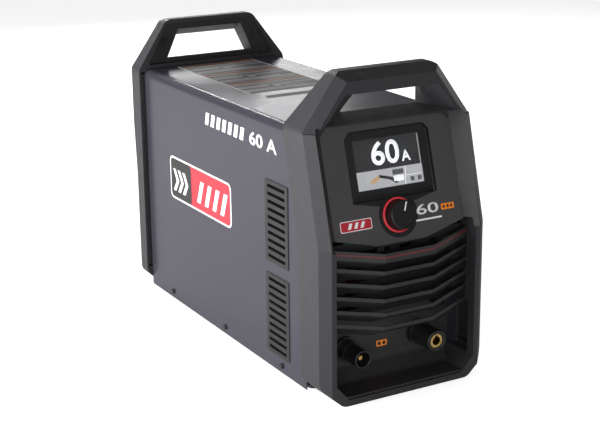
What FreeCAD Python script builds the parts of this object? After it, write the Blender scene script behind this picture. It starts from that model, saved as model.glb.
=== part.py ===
import FreeCAD, Part

import math
import os
import re

import Sketcher

# Plasma cutter power unit, in millimetres.  The origin is on the ground at the middle of the footprint:
# +X is to the right of a person facing the controls, -Y is the control end, +Z is up.

doc = FreeCAD.newDocument("PlasmaCutter")

# ---------------------------------------------------------------- driving dimensions
SIZES = {
    # overall
    "width": 270,
    "depth": 640,
    "shoulder_z": 378,
    "handle_rise": 77,
    # front view outline shared by both end mouldings
    "sole_inset": 31,
    "corner_rise": 29,
    "crown_inset": 56,
    "corner_round": 18,
    "rim_chamfer": 13,
    "skin": 3.5,
    # control end moulding, side view; *_set values run back from the front of the unit
    "nose": 4,
    "lean_drop": 150,
    "grip_set": 47,
    "grip_depth": 33,
    "brow_run": 20,
    "brow_drop": 12,
    "seam_set": 68,
    "seam_kink": 180,
    "seam_top_set": 112,
    "step_rise": 6,
    # opening in the control end
    "bay_inset": 20.5,
    "bay_floor": 9,
    "bay_corner": 20.5,
    "bay_corner_rise": 23,
    "bay_lap": 2,
    # handles
    "plate_thick": 4,
    "grip_bar": 30,
    "slot_rise": 17,
    "slot_half": 62,
    "handle_screw_r": 2.1,
    # control panel, measured from the knob centre in its own leaning plane
    "lean": 16.3,
    "knob_drop": 124,
    "knob_set": 29.5,
    "panel_top": 136.5,
    "panel_top_inset": 30,
    "panel_corner": 17,
    "panel_low": 20.8,
    "panel_inset": 29.5,
    "chin": 37.5,
    "chin_half": 39.5,
    "panel_thick": 3,
    "ledge": 6,
    "tub_half": 68.5,
    "tub_low": 24,
    "tub_high": 121,
    "tub_corner": 9,
    "tub_depth": 6,
    "screen_half": 56.5,
    "screen_low": 38,
    "screen_high": 108,
    "dial_r": 31,
    "recess": 1,
    "knob_r": 20.5,
    "knob_rise": 15,
    "knob_deep": 4,
    "pointer_turn": 22,
    "pointer_in": 5,
    "pointer_out": 17.8,
    "pointer_half": 0.9,
    "halo_r": 24.5,
    "shaft_r": 3,
    "bush_r": 4.5,
    "push_travel": 1,
    # grille
    "blade_count": 5,
    "blade_pitch": 20,
    "chin_to_blade": 31,
    "blade_face": 5.2,
    "blade_half": 40,
    "blade_sweep": 0.3,
    "blade_rise": 0.15,
    "blade_back": 14,
    "blade_fall": 9,
    "blade_sheet": 2.4,
    "brow_face": 13,
    "brow_step": 5,
    "blade_end_gap": 1.6,
    "post_wide": 3.2,
    "post_foot": 3,
    "baffle_gap": 2.1,
    "baffle_thick": 2,
    # connector bay
    "bay_panel_set": 70,
    "bay_panel_top": 112,
    "socket_x": 62,
    "torch_z": 56,
    "work_z": 58,
    "torch_r": 13.5,
    "torch_bore_r": 10.5,
    "work_r": 16,
    "work_bore_r": 6.5,
    "stem_r": 11,
    # cover
    "cover_inset": 9.5,
    "cover_bend": 12,
    "cover_low": 7,
    "sheet": 1.5,
    "tuck": 8,
    "vent_wide": 66,
    "vent_tall": 121,
    "vent_set": 148,
    "vent_high_z": 229.5,
    "vent_low_z": 91,
    "vent_slots": 10,
    "vent_pitch": 11.5,
    "vent_slot": 5,
    "vent_rim": 2.5,
    "screw_z": 18,
    # rear moulding; *_back values run forward from the rear of the unit
    "rear_lip": 44,
    "rear_foot": 6,
    "rear_plate_back": 35,
    "rear_panel_back": 22,
    # chassis
    "pan_z": 10,
    "pan_flange": 22,
    "foot_r": 12,
    "foot_x": 100,
    "foot_back": 92,
    # cooling fan
    "fan_half": 60,
    "fan_depth": 25,
    "fan_z": 258,
    "hub_r": 20,
    # compressed air
    "valve_back": 170,
    "valve_half": 18,
    "hose_r": 4,
    # fits
    "gap": 0.4,
    "run": 0.05,
}

sheet = doc.addObject("Spreadsheet::Sheet", "Sizes")
for row, (alias, amount) in enumerate(SIZES.items(), start=1):
    sheet.set("A%d" % row, alias)
    sheet.set("B%d" % row, str(amount))
    sheet.setAlias("B%d" % row, alias)
doc.recompute()

WORD = re.compile(r"[a-z][a-z_]+")


def bound(text):
    """The expression with every size written as a reference to its cell."""
    return WORD.sub(lambda m: "Sizes." + m.group(0) if m.group(0) in SIZES else m.group(0), str(text))


def number(text):
    """The expression's value, for placing geometry before it is constrained."""
    return float(sheet.evalExpression(bound(text)))


# derived levels and stations, each written once
HEIGHT = "(shoulder_z + handle_rise)"
FRONT = "(-depth / 2)"
REAR = "(depth / 2)"
RIM = "(nose - depth / 2)"
GRIP = "(grip_set - depth / 2)"
PLATE = "(grip_set + grip_depth - depth / 2)"
SEAM = "(seam_set - depth / 2)"
SEAM_TOP = "(seam_top_set - depth / 2)"
LEAN_Z = "(shoulder_z - lean_drop)"
LEAN_TOP = "(shoulder_z + 15)"
LEAN_RUN = "((grip_set - nose) / (lean_drop + 15))"
STEP_Z = "(shoulder_z + step_rise)"
SIDE = "(width / 2)"
BAY = "(width / 2 - bay_inset)"
COVER = "(width / 2 - cover_inset)"
KNOB_Z = "(shoulder_z - knob_drop)"
BAY_TOP = "(shoulder_z - knob_drop - panel_low * cos(lean * 1deg) + bay_lap)"
KNOB_Y = "(depth / 2 - knob_set)"
SLOT_FLOOR = "(shoulder_z + slot_rise)"
SLOT_TOP = "(shoulder_z + handle_rise - grip_bar)"
CROWN = "(width / 2 - crown_inset)"
HANDLE_SCREW_X = "(width / 2 - crown_inset + 5.5)"
HANDLE_SCREW_Z = "(shoulder_z + handle_rise - 35)"
BAY_PANEL = "(bay_panel_set - depth / 2)"
BLADE_TOP = "(shoulder_z - knob_drop - chin * cos(lean * 1deg) - chin_to_blade)"
BLADE_END = "(width / 2 - bay_inset - blade_end_gap)"
WING_BACK = "((width / 2 - bay_inset - blade_end_gap - blade_half) * blade_sweep)"
WING_LIFT = "((width / 2 - bay_inset - blade_end_gap - blade_half) * blade_rise)"
BAFFLE = "(WING + blade_back + baffle_gap - depth / 2)".replace("WING", WING_BACK)
REAR_LIP = "(depth / 2 - rear_lip)"
REAR_PLATE = "(depth / 2 - rear_plate_back)"
REAR_PANEL = "(depth / 2 - rear_panel_back)"
COVER_REAR = "(depth / 2 - rear_lip + 5)"
FOOT_Y = "(depth / 2 - foot_back)"
VALVE_Y = "(depth / 2 - valve_back)"
PAN_FRONT = "(bay_panel_set + 3.4 - depth / 2)"
PAN_REAR = "(depth / 2 - rear_lip - gap)"

# ---------------------------------------------------------------- modelling helpers
# The XZ plane's normal looks towards -Y, so distances along Y change sign there.
PLANES = {"XY": ("XY_Plane", 1), "XZ": ("XZ_Plane", -1), "YZ": ("YZ_Plane", 1)}
NODES = {}


def new_body(label):
    body = doc.addObject("PartDesign::Body", "Body")
    body.Label = label
    body.AllowCompound = True
    NODES[label] = body
    return body


def lean_body(label):
    """A body whose XY plane is the control panel's face, with Z outwards and the knob at its origin."""
    body = new_body(label)
    body.Placement = FreeCAD.Placement(FreeCAD.Vector(), FreeCAD.Rotation(FreeCAD.Vector(1, 0, 0), 70))
    body.setExpression("Placement.Rotation.Angle", bound("90 - lean"))
    body.setExpression("Placement.Base.y", bound("-" + KNOB_Y))
    body.setExpression("Placement.Base.z", bound(KNOB_Z))
    return body


def new_sketch(body, plane, offset, lean=False):
    role, _ = PLANES[plane]
    support = next(item for item in body.Origin.OriginFeatures if item.Role == role)
    sketch = body.newObject("Sketcher::SketchObject", "Sketch")
    sketch.AttachmentSupport = [(support, "")]
    sketch.MapMode = "FlatFace"
    if lean:
        # the control panel's plane, carried outwards along its own normal
        sketch.AttachmentOffset = FreeCAD.Placement(
            FreeCAD.Vector(), FreeCAD.Rotation(FreeCAD.Vector(-1, 0, 0), 16))
        sketch.setExpression("AttachmentOffset.Rotation.Angle", bound("lean"))
        sketch.setExpression("AttachmentOffset.Base.y", bound("%s + (%s) * sin(lean * 1deg)" % (KNOB_Z, offset)))
        sketch.setExpression("AttachmentOffset.Base.z", bound("%s + (%s) * cos(lean * 1deg)" % (KNOB_Y, offset)))
    else:
        sketch.setExpression("AttachmentOffset.Base.z", bound(offset))
    return sketch


def pin_point(sketch, geometry, point, x, y):
    """Hold one point at two expressions from the sketch origin."""
    for kind, text in (("DistanceX", x), ("DistanceY", y)):
        index = sketch.addConstraint(Sketcher.Constraint(kind, -1, 1, geometry, point, number(text)))
        sketch.setExpression("Constraints[%d]" % index, bound(text))


def draw_loop(sketch, points):
    """A closed outline whose corners are pairs of expressions."""
    corners = [FreeCAD.Vector(number(x), number(y), 0) for x, y in points]
    count = len(corners)
    first = sketch.GeometryCount
    for i in range(count):
        sketch.addGeometry(Part.LineSegment(corners[i], corners[(i + 1) % count]), False)
    for i in range(count):
        sketch.addConstraint(Sketcher.Constraint("Coincident", first + i, 2, first + (i + 1) % count, 1))
        pin_point(sketch, first + i, 1, *points[i])


def draw_circle(sketch, x, y, radius):
    centre = FreeCAD.Vector(number(x), number(y), 0)
    index = sketch.addGeometry(Part.Circle(centre, FreeCAD.Vector(0, 0, 1), number(radius)), False)
    pin_point(sketch, index, 3, x, y)
    limit = sketch.addConstraint(Sketcher.Constraint("Radius", index, number(radius)))
    sketch.setExpression("Constraints[%d]" % limit, bound(radius))


def draw(sketch, shapes):
    """Outlines are lists of corners; circles are (x, y, radius)."""
    for shape in shapes:
        if isinstance(shape, tuple):
            draw_circle(sketch, *shape)
        else:
            draw_loop(sketch, shape)


def extrude(body, kind, plane, low, high, shapes, lean):
    flip = 1 if lean else PLANES[plane][1]
    near, far = (low, high) if flip == 1 else ("-(%s)" % high, "-(%s)" % low)
    sketch = new_sketch(body, plane, near if kind == "Pad" else far, lean)
    draw(sketch, shapes)
    feature = body.newObject("PartDesign::" + kind, kind)
    feature.Profile = sketch
    feature.setExpression("Length", bound("(%s) - (%s)" % (high, low)))
    body.Tip = feature
    return feature


def pad(body, plane, low, high, *shapes, lean=False):
    """Material between two distances along the plane's own axis."""
    feature = extrude(body, "Pad", plane, low, high, shapes, lean)
    doc.recompute()
    return feature


def check_removed(body, before):
    doc.recompute()
    if body.Shape.isNull() or body.Shape.Volume > before - 0.5:
        raise RuntimeError("a cut in %s removes nothing" % body.Label)


def cut(body, plane, low, high, *shapes, lean=False):
    """Material removed between two distances along the plane's own axis."""
    before = body.Shape.Volume
    feature = extrude(body, "Pocket", plane, low, high, shapes, lean)
    check_removed(body, before)
    return feature


def slanted_cut(body, low, high, run, *shapes):
    """A cut from a level sketch that moves by run = (dx, dy) for each unit of height."""
    before = body.Shape.Volume
    sketch = new_sketch(body, "XY", low)
    draw(sketch, shapes)
    feature = body.newObject("PartDesign::Pocket", "Bevel")
    feature.Profile = sketch
    feature.UseCustomVector = True
    feature.Direction = FreeCAD.Vector(0, 0, 1)
    feature.setExpression("Direction.x", bound(run[0]))
    feature.setExpression("Direction.y", bound(run[1]))
    feature.AlongSketchNormal = True
    feature.setExpression("Length", bound("(%s) - (%s)" % (high, low)))
    body.Tip = feature
    check_removed(body, before)


def loft_cut(body, plane, *sections):
    """A straight-sided loft removed through outlines at given distances along the plane's axis."""
    before = body.Shape.Volume
    flip = PLANES[plane][1]
    profiles = []
    for distance, points in sections:
        sketch = new_sketch(body, plane, distance if flip == 1 else "-(%s)" % distance)
        draw(sketch, [points])
        profiles.append(sketch)
    feature = body.newObject("PartDesign::SubtractiveLoft", "Loft")
    feature.Profile = profiles[0]
    feature.Sections = profiles[1:]
    feature.Ruled = True
    body.Tip = feature
    check_removed(body, before)


def pick_edges(shape, test):
    """Names of the edges whose start, middle and end all pass the test."""
    names = []
    for i, edge in enumerate(shape.Edges, start=1):
        span = edge.LastParameter - edge.FirstParameter
        if all(test(edge.valueAt(edge.FirstParameter + span * k / 2)) for k in range(3)):
            names.append("Edge%d" % i)
    return names


def dress(body, kind, amount, test):
    """Fillet or Chamfer the edges that pass the test."""
    base = body.Tip
    feature = body.newObject("PartDesign::" + kind, kind)
    feature.Base = (base, pick_edges(base.Shape, test))
    feature.setExpression("Radius" if kind == "Fillet" else "Size", bound(amount))
    body.Tip = feature
    doc.recompute()
    return feature


def near(a, b):
    return abs(a - b) < 0.01


def mirrored_pair(points):
    """An outline and its mirror image in X."""
    return [points, [("-(%s)" % x, y) for x, y in reversed(points)]]


def symmetric(points):
    """The closed outline whose right half, from bottom to top, is given."""
    return list(points) + [("-(%s)" % x, y) for x, y in reversed(points)]


def rectangle(x_low, x_high, y_low, y_high):
    return [(x_low, y_low), (x_high, y_low), (x_high, y_high), (x_low, y_high)]


def block(half, low, high):
    return rectangle("-(%s)" % half, half, low, high)


def node(label, item):
    """Name a finished primitive or boolean as a sub-part."""
    item.Label = label
    NODES[label] = item
    return item


def put(item, x, y, z):
    for axis, text in zip("xyz", (x, y, z)):
        item.setExpression("Placement.Base." + axis, bound(text))
    return item


def box(x_low, x_high, y_low, y_high, z_low, z_high):
    item = doc.addObject("Part::Box", "Box")
    item.setExpression("Length", bound("(%s) - (%s)" % (x_high, x_low)))
    item.setExpression("Width", bound("(%s) - (%s)" % (y_high, y_low)))
    item.setExpression("Height", bound("(%s) - (%s)" % (z_high, z_low)))
    return put(item, x_low, y_low, z_low)


TURNS = {
    "X": FreeCAD.Rotation(FreeCAD.Vector(0, 1, 0), 90),
    "Y": FreeCAD.Rotation(FreeCAD.Vector(1, 0, 0), -90),
    "Z": FreeCAD.Rotation(),
}


def rod(axis, radius, low, high, a, b):
    """A cylinder along an axis; a and b are its other two coordinates in X, Y, Z order."""
    item = doc.addObject("Part::Cylinder", "Rod")
    item.Placement = FreeCAD.Placement(FreeCAD.Vector(), TURNS[axis])
    item.setExpression("Radius", bound(radius))
    item.setExpression("Height", bound("(%s) - (%s)" % (high, low)))
    spot = {"X": (low, a, b), "Y": (a, low, b), "Z": (a, b, low)}[axis]
    return put(item, *spot)


def joined(*items):
    if len(items) == 1:
        return items[0]
    item = doc.addObject("Part::MultiFuse", "Join")
    item.Shapes = list(items)
    item.Refine = True
    return item


def without(base, *tools):
    item = doc.addObject("Part::Cut", "Cut")
    item.Base = base
    item.Tool = joined(*tools)
    item.Refine = True
    return item


def group(*items):
    """Separate solids that share one sub-part."""
    item = doc.addObject("Part::Compound", "Group")
    item.Links = list(items)
    return item


def rounded(item, radius, test):
    """A Part fillet on the edges that pass the test."""
    doc.recompute()
    names = pick_edges(item.Shape, test)
    fillet = doc.addObject("Part::Fillet", "Round")
    fillet.Base = item
    fillet.Edges = [(int(name[4:]), number(radius), number(radius)) for name in names]
    return fillet


# ---------------------------------------------------------------- end mouldings
def outline_corners():
    return [(number("width / 2 - sole_inset"), 0), (number(SIDE), number("corner_rise")),
            (number(SIDE), number("shoulder_z")), (number(CROWN), number(HEIGHT))]


def trim_to_outline(body):
    """Give an end block the shared front view: cut corners below, sloping shoulders above."""
    beyond = "width / 2 + 20"
    cut(body, "XZ", "-depth", "depth", *mirrored_pair([
        ("width / 2 - sole_inset", "0"), (beyond, "0"), (beyond, "corner_rise"), (SIDE, "corner_rise")]))
    cut(body, "XZ", "-depth", "depth", *mirrored_pair([
        (SIDE, "shoulder_z"), (beyond, "shoulder_z"), (beyond, HEIGHT), (CROWN, HEIGHT)]))
    corners = outline_corners()
    dress(body, "Fillet", "corner_round",
          lambda p: any(near(abs(p.x), x) and near(p.z, z) for x, z in corners))


def wedge(side, x, y, out, stretch="1"):
    """Section of a 45 degree rim bevel at (x, y); out is the sense of the outward Y direction."""
    inner = "%s((%s) - rim_chamfer * %s)" % (side, x, stretch)
    outer = "%s((%s) + 9)" % (side, x)
    return [(inner, y), (inner, "(%s) + (%s) * 9" % (y, out)), (outer, "(%s) + (%s) * 9" % (y, out)),
            (outer, "(%s) - (%s) * rim_chamfer" % (y, out)),
            ("%s(%s)" % (side, x), "(%s) - (%s) * rim_chamfer" % (y, out))]


SLOPE = "(crown_inset / handle_rise)"
SLOPE_STRETCH = "sqrt(1 + %s * %s)" % (SLOPE, SLOPE)


def bevel_shoulders(body, y, out):
    for side, sense in (("", "-"), ("-", "")):
        slanted_cut(body, "shoulder_z", HEIGHT, (sense + SLOPE, "0"), wedge(side, SIDE, y, out, SLOPE_STRETCH))


def panel_outline(spread, low):
    """The control panel's leaning outline, grown by spread, down to a level edge at -low."""
    return symmetric([
        ("%s - panel_inset + (%s)" % (SIDE, spread), "-(%s)" % low),
        ("%s - panel_inset + (%s)" % (SIDE, spread), "-panel_low"),
        ("%s - panel_top_inset + (%s)" % (SIDE, spread), "panel_top - panel_corner + (%s)" % spread),
        ("%s - panel_top_inset - panel_corner + (%s)" % (SIDE, spread), "panel_top + (%s)" % spread)])


def plate_outline(spread):
    """The handle's back plate; it lies between the wings of the moulding."""
    return symmetric([
        (SIDE + " - 20 + (%s)" % spread, STEP_Z + " + gap - (%s)" % spread),
        (SIDE + " - 20 + (%s)" % spread, STEP_Z + " + 4"),
        (CROWN + " + (%s)" % spread, HEIGHT + " - 7 + (%s)" % spread)])


def front_bezel():
    body = new_body("front_bezel")
    pad(body, "YZ", "-" + SIDE, SIDE, [
        (RIM, "0"), (RIM, LEAN_Z), (GRIP, LEAN_TOP), (GRIP, HEIGHT + " - brow_drop"),
        (GRIP + " + brow_run", HEIGHT), (PLATE + " + plate_thick", HEIGHT), (SEAM_TOP, STEP_Z),
        (SEAM, "shoulder_z - seam_kink"), (SEAM, "0")])
    trim_to_outline(body)
    cut(body, "XZ", PLATE, "-depth / 4", plate_outline("gap"))
    for side in ("", "-"):
        slanted_cut(body, "0", LEAN_Z, ("0", "0"), wedge(side, SIDE, RIM, "-1"))
        slanted_cut(body, LEAN_Z, LEAN_TOP + " + 5", ("0", LEAN_RUN), wedge(side, SIDE, RIM, "-1"))
    bevel_shoulders(body, GRIP, "-1")
    # the cover's front edge is taken into the back of the moulding
    inside = "(%s + gap)" % COVER
    behind = "(9 - %s + ((%s) - %s) * tan(lean * 1deg))"
    core_top = "(shoulder_z - cover_bend)"
    cut(body, "YZ", "-" + inside, inside, [
        (RIM + " + 16", "corner_rise + 2"), (RIM + " + 16", LEAN_Z + " - 28"),
        (behind % (KNOB_Y, LEAN_Z, KNOB_Z), LEAN_Z), (behind % (KNOB_Y, core_top, KNOB_Z), core_top),
        ("-depth / 4", core_top), ("-depth / 4", "corner_rise + 2")])
    cut(body, "XZ", behind % (KNOB_Y, "shoulder_z", KNOB_Z), "-depth / 4", symmetric([
        (inside, "shoulder_z - 40"), (inside, "shoulder_z - 6.6"), (inside + " - 7", "shoulder_z + gap")]))
    # hollow side walls
    groove = [(RIM + " + 18", "corner_rise + 9"), (RIM + " + 18", LEAN_Z),
              (RIM + " + 18 + (lean_drop - cover_bend) * " + LEAN_RUN, core_top), (SEAM_TOP + " - 7", core_top),
              (SEAM + " - 4", "shoulder_z - seam_kink"), (SEAM + " - 4", "corner_rise + 9")]
    cut(body, "YZ", inside + " - 0.2", "width / 2 - skin", groove)
    cut(body, "YZ", "skin - width / 2", "0.2 - " + inside, groove)
    # open bay for the grille and the sockets
    cut(body, "XZ", FRONT + " - 1", "-depth / 4", symmetric([
        (BAY + " - bay_corner", "bay_floor"), (BAY, "bay_floor + bay_corner_rise"), (BAY, BAY_TOP)]))
    # recess, seat and opening of the control panel
    low = "(%s - 12)" % BAY_TOP
    level = "(-%s + (%s - %s) * tan(lean * 1deg))" % (KNOB_Y, low, KNOB_Z)
    taper = "((panel_top_inset - panel_inset) / ((panel_top + panel_low) * cos(lean * 1deg)))"
    for side, sense in (("", "-"), ("-", "")):
        edge = "%s(%s - panel_inset + gap + 12 * %s)" % (side, SIDE, taper)
        mouth = "%s(%s - panel_inset + gap + 24)" % (side, SIDE)
        slanted_cut(body, low, STEP_Z + " + 1", (sense + taper, "tan(lean * 1deg)"), [
            ("%s(-12)" % side, level), (edge, level), (mouth, level + " - 30"), ("%s(-12)" % side, level + " - 30")])
    cut(body, "XZ", "-panel_thick", "1", panel_outline("gap", "panel_low + 6"), lean=True)
    cut(body, "XZ", "-60", "0", panel_outline("-ledge", "panel_low + 6"), lean=True)
    # finger slot under the grip
    loft_cut(body, "XZ",
             (GRIP + " - 4", symmetric([(SIDE + " - 25", STEP_Z + " + 2"), (SIDE + " - 35", SLOT_TOP + " - 24"),
                                        (SIDE + " - 53", SLOT_TOP)])),
             (GRIP + " + 15", symmetric([(SIDE + " - 51", STEP_Z + " + 7"), (SIDE + " - 64", SLOT_TOP + " - 20"),
                                         (SIDE + " - 87", SLOT_TOP + " + 3")])),
             (PLATE + " + 0.1", symmetric([("slot_half", SLOT_FLOOR), ("slot_half + 0.5", SLOT_TOP + " - 14"),
                                           ("slot_half", SLOT_TOP + " + 10")])))
    # hollow grip and holes for the screws of its back plate
    cut(body, "XZ", GRIP + " + 14", PLATE, block("slot_half + 2", SLOT_TOP + " + 14.5", HEIGHT + " - 7.5"))
    cut(body, "XZ", PLATE + " - 14", PLATE, (HANDLE_SCREW_X, HANDLE_SCREW_Z, "handle_screw_r"),
        ("-" + HANDLE_SCREW_X, HANDLE_SCREW_Z, "handle_screw_r"))
    return body


def handle_plate(label, y_low, slot):
    body = new_body(label)
    pad(body, "XZ", y_low, y_low + " + plate_thick", plate_outline("0"))
    cut(body, "XZ", y_low + " - 1", y_low + " + plate_thick + 1", slot)
    cut(body, "XZ", y_low + " - 1", y_low + " + plate_thick + 1",
        (HANDLE_SCREW_X, HANDLE_SCREW_Z, "handle_screw_r + gap"),
        ("-" + HANDLE_SCREW_X, HANDLE_SCREW_Z, "handle_screw_r + gap"))
    return body


def rear_bezel():
    body = new_body("rear_bezel")
    kink = "(shoulder_z - seam_kink)"
    foot = "(%s - rear_foot)" % REAR
    pad(body, "YZ", "-" + SIDE, SIDE, [
        (REAR_LIP, "0"), (foot, "0"), (foot, kink), (REAR, kink + " + 90"), (REAR, HEIGHT + " - brow_drop"),
        (REAR + " - brow_run", HEIGHT), (REAR_PLATE, HEIGHT), (REAR_LIP, STEP_Z)])
    trim_to_outline(body)
    cut(body, "XZ", "0", REAR_PLATE + " + plate_thick", plate_outline("gap"))
    for side in ("", "-"):
        slanted_cut(body, "0", kink, ("0", "0"), wedge(side, SIDE, foot, "1"))
        slanted_cut(body, kink, kink + " + 90", ("0", "rear_foot / 90"), wedge(side, SIDE, foot, "1"))
        slanted_cut(body, kink + " + 90", LEAN_TOP + " + 5", ("0", "0"), wedge(side, SIDE, REAR, "1"))
    bevel_shoulders(body, REAR, "1")
    # the cover's rear edge and the rear panel are taken into the moulding
    inside = "(%s + gap)" % COVER
    seat = "(%s + sheet + gap)" % REAR_PANEL
    cut(body, "XZ", "0", seat, symmetric([
        (BAY + " - bay_corner - 4", "corner_rise - 17"), (inside, "corner_rise + 4"), (inside, "shoulder_z - 6.6"),
        (inside + " - 7", "shoulder_z + gap")]))
    groove = rectangle("0", REAR_LIP + " + 18", "corner_rise + 9", "shoulder_z - 4")
    cut(body, "YZ", inside + " - 0.2", "width / 2 - skin", groove)
    cut(body, "YZ", "skin - width / 2", "0.2 - " + inside, groove)
    cut(body, "XZ", "0", REAR + " + 1", symmetric([
        (BAY + " - bay_corner - 8", "corner_rise - 13"), (BAY, "corner_rise + 12"), (BAY, "shoulder_z - 26"),
        (BAY + " - 13", "shoulder_z - 13")]))
    loft_cut(body, "XZ",
             (REAR_PLATE + " + plate_thick - 0.1", symmetric([(SIDE + " - 56", SLOT_FLOOR + " - 3"),
                                                              (SIDE + " - 77", SLOT_TOP + " + 13")])),
             (REAR + " + 2", symmetric([(SIDE + " - 52", STEP_Z + " - 1"), (SIDE + " - 71", SLOT_TOP + " - 3")])))
    cut(body, "XZ", REAR_PLATE + " + plate_thick", REAR_PLATE + " + plate_thick + 14",
        (HANDLE_SCREW_X, HANDLE_SCREW_Z, "handle_screw_r"),
        ("-" + HANDLE_SCREW_X, HANDLE_SCREW_Z, "handle_screw_r"))
    return body


front_bezel()
handle_plate("front_handle_plate", PLATE, block("slot_half", SLOT_FLOOR, SLOT_TOP + " + 10"))
rear_bezel()
handle_plate("rear_handle_plate", REAR_PLATE, symmetric([
    (SIDE + " - 56", SLOT_FLOOR + " - 3"), (SIDE + " - 77", SLOT_TOP + " + 13")]))


# ---------------------------------------------------------------- control panel and what it carries
def control_panel():
    body = lean_body("control_panel")
    pad(body, "XY", "-panel_thick", "0", symmetric([
        ("chin_half", "-chin"), ("%s - panel_inset" % SIDE, "-panel_low"),
        ("%s - panel_top_inset" % SIDE, "panel_top - panel_corner"),
        ("%s - panel_top_inset - panel_corner" % SIDE, "panel_top")]))
    # return flange that stiffens the pointed lower edge
    pad(body, "XY", "-panel_thick - 7", "-panel_thick", symmetric([
        ("chin_half", "-chin"), ("%s - panel_inset - 8" % SIDE, "-panel_low - 1.8"),
        ("%s - panel_inset - 8" % SIDE, "-panel_low + 1"), ("chin_half", "-chin + 2.8")]))
    # tub behind the display
    pad(body, "XY", "-tub_depth - 3", "-panel_thick", block("tub_half + 3", "tub_low - 3", "tub_high + 3"))
    tub = symmetric([("tub_half", "tub_low"), ("tub_half", "tub_high - tub_corner"),
                     ("tub_half - tub_corner", "tub_high")])
    cut(body, "XY", "-tub_depth", "1", tub)
    cut(body, "XY", "-tub_depth - 4", "0", block("screen_half + 1", "screen_low - 1", "screen_high + 1"))
    # shallow dish round the dial
    cut(body, "XY", "-recess", "1", ("0", "0", "dial_r"))
    cut(body, "XY", "-panel_thick - 1", "1", ("0", "0", "bush_r + gap / 2"))
    dress(body, "Fillet", "1.2", lambda p: near(p.z, -number("tub_depth")) and abs(p.x) > number("tub_half - tub_corner") - 0.1)
    return body


def display_window():
    body = lean_body("display_window")
    pad(body, "XY", "-tub_depth", "-tub_depth + 1.2", symmetric([
        ("tub_half - 1.5", "tub_low + 8"), ("tub_half - 1.5", "tub_high - tub_corner - 1"),
        ("tub_half - tub_corner - 1.5", "tub_high - 1.5")]))
    return body


def display_module():
    body = lean_body("display_module")
    pad(body, "XY", "-tub_depth - 9", "-tub_depth - 3", block("screen_half + 5", "screen_low - 5", "screen_high + 5"))
    pad(body, "XY", "-tub_depth - 3", "-tub_depth - 0.3", block("screen_half", "screen_low", "screen_high"))
    return body


def pointer_outline():
    """The slot for the white line, turned clockwise from the top of the dial."""
    sine, cosine = "sin(pointer_turn * 1deg)", "cos(pointer_turn * 1deg)"
    corners = (("pointer_in", "-"), ("pointer_in", ""), ("pointer_out", ""), ("pointer_out", "-"))
    return [("%s * %s + (%spointer_half) * %s" % (reach, sine, sense, cosine),
             "%s * %s - (%spointer_half) * %s" % (reach, cosine, sense, sine)) for reach, sense in corners]


def adjust_knob():
    """Ribbed push-and-turn dial with a blind bore for the encoder shaft."""
    body = lean_body("adjust_knob")
    pad(body, "XY", "push_travel + gap", "knob_rise", ("0", "0", "knob_r"))
    dress(body, "Chamfer", "1.6", lambda p: near(p.z, number("knob_rise")))
    cut(body, "XY", "knob_rise - 0.8", "knob_rise + 1", ("0", "0", "knob_r - 2.4"))
    cut(body, "XY", "0", "knob_rise - knob_deep", ("0", "0", "shaft_r"))
    cut(body, "XY", "0", "5", ("0", "0", "bush_r + 5"))
    sketch = new_sketch(body, "XY", "knob_rise")
    draw(sketch, [("knob_r + 0.5", "0", "1.1")])
    flute = body.newObject("PartDesign::Pocket", "Flute")
    flute.Profile = sketch
    flute.setExpression("Length", bound("knob_rise - push_travel - gap - 2"))
    body.Tip = flute
    ring = body.newObject("PartDesign::PolarPattern", "Flutes")
    ring.Originals = [flute]
    ring.Axis = (sketch, ["N_Axis"])
    ring.Angle = 360
    ring.Occurrences = 32
    body.Tip = ring
    doc.recompute()
    # the pointer line is a slot in the face
    cut(body, "XY", "knob_rise - 1.6", "knob_rise + 1", pointer_outline())
    return body


def knob_pointer():
    """White infill of the pointer slot."""
    body = lean_body("knob_pointer")
    pad(body, "XY", "knob_rise - 1.6", "knob_rise - 0.6", pointer_outline())
    return body


def halo_ring():
    """Light guide ring in the dish round the knob."""
    body = lean_body("halo_ring")
    pad(body, "XY", "-recess", "1", ("0", "0", "halo_r"), ("0", "0", "halo_r - 2.6"))
    dress(body, "Fillet", "0.5", lambda p: near(p.z, 1))
    return body


def encoder():
    shell = lean_body("encoder_body")
    pad(shell, "XY", "-tub_depth - 9", "-panel_thick", block("7", "-7", "7"))
    pad(shell, "XY", "-panel_thick", "2.6", ("0", "0", "bush_r"))
    cut(shell, "XY", "-panel_thick - 10", "3", ("0", "0", "shaft_r + run"))
    nut = lean_body("encoder_nut")
    pad(nut, "XY", "-recess", "1.4", ("0", "0", "bush_r + 3.5"), ("0", "0", "bush_r + 0.05"))
    shaft = lean_body("encoder_shaft")
    pad(shaft, "XY", "-panel_thick - 6", "knob_rise - knob_deep", ("0", "0", "shaft_r"))
    plunger = lean_body("encoder_plunger")
    pad(plunger, "XY", "-panel_thick - 8", "-panel_thick - 6", ("0", "0", "shaft_r - 0.2"))


def control_board():
    body = lean_body("control_board")
    pad(body, "XY", "-tub_depth - 10.6", "-tub_depth - 9", block("84", "-30", "124"))
    for low, high, height in (("-60", "-20", "5"), ("30", "55", "3")):
        pad(body, "XY", "-tub_depth - 9", "-tub_depth - 9 + " + height, rectangle(low, high, "-22", "-4"))
    return body


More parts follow.
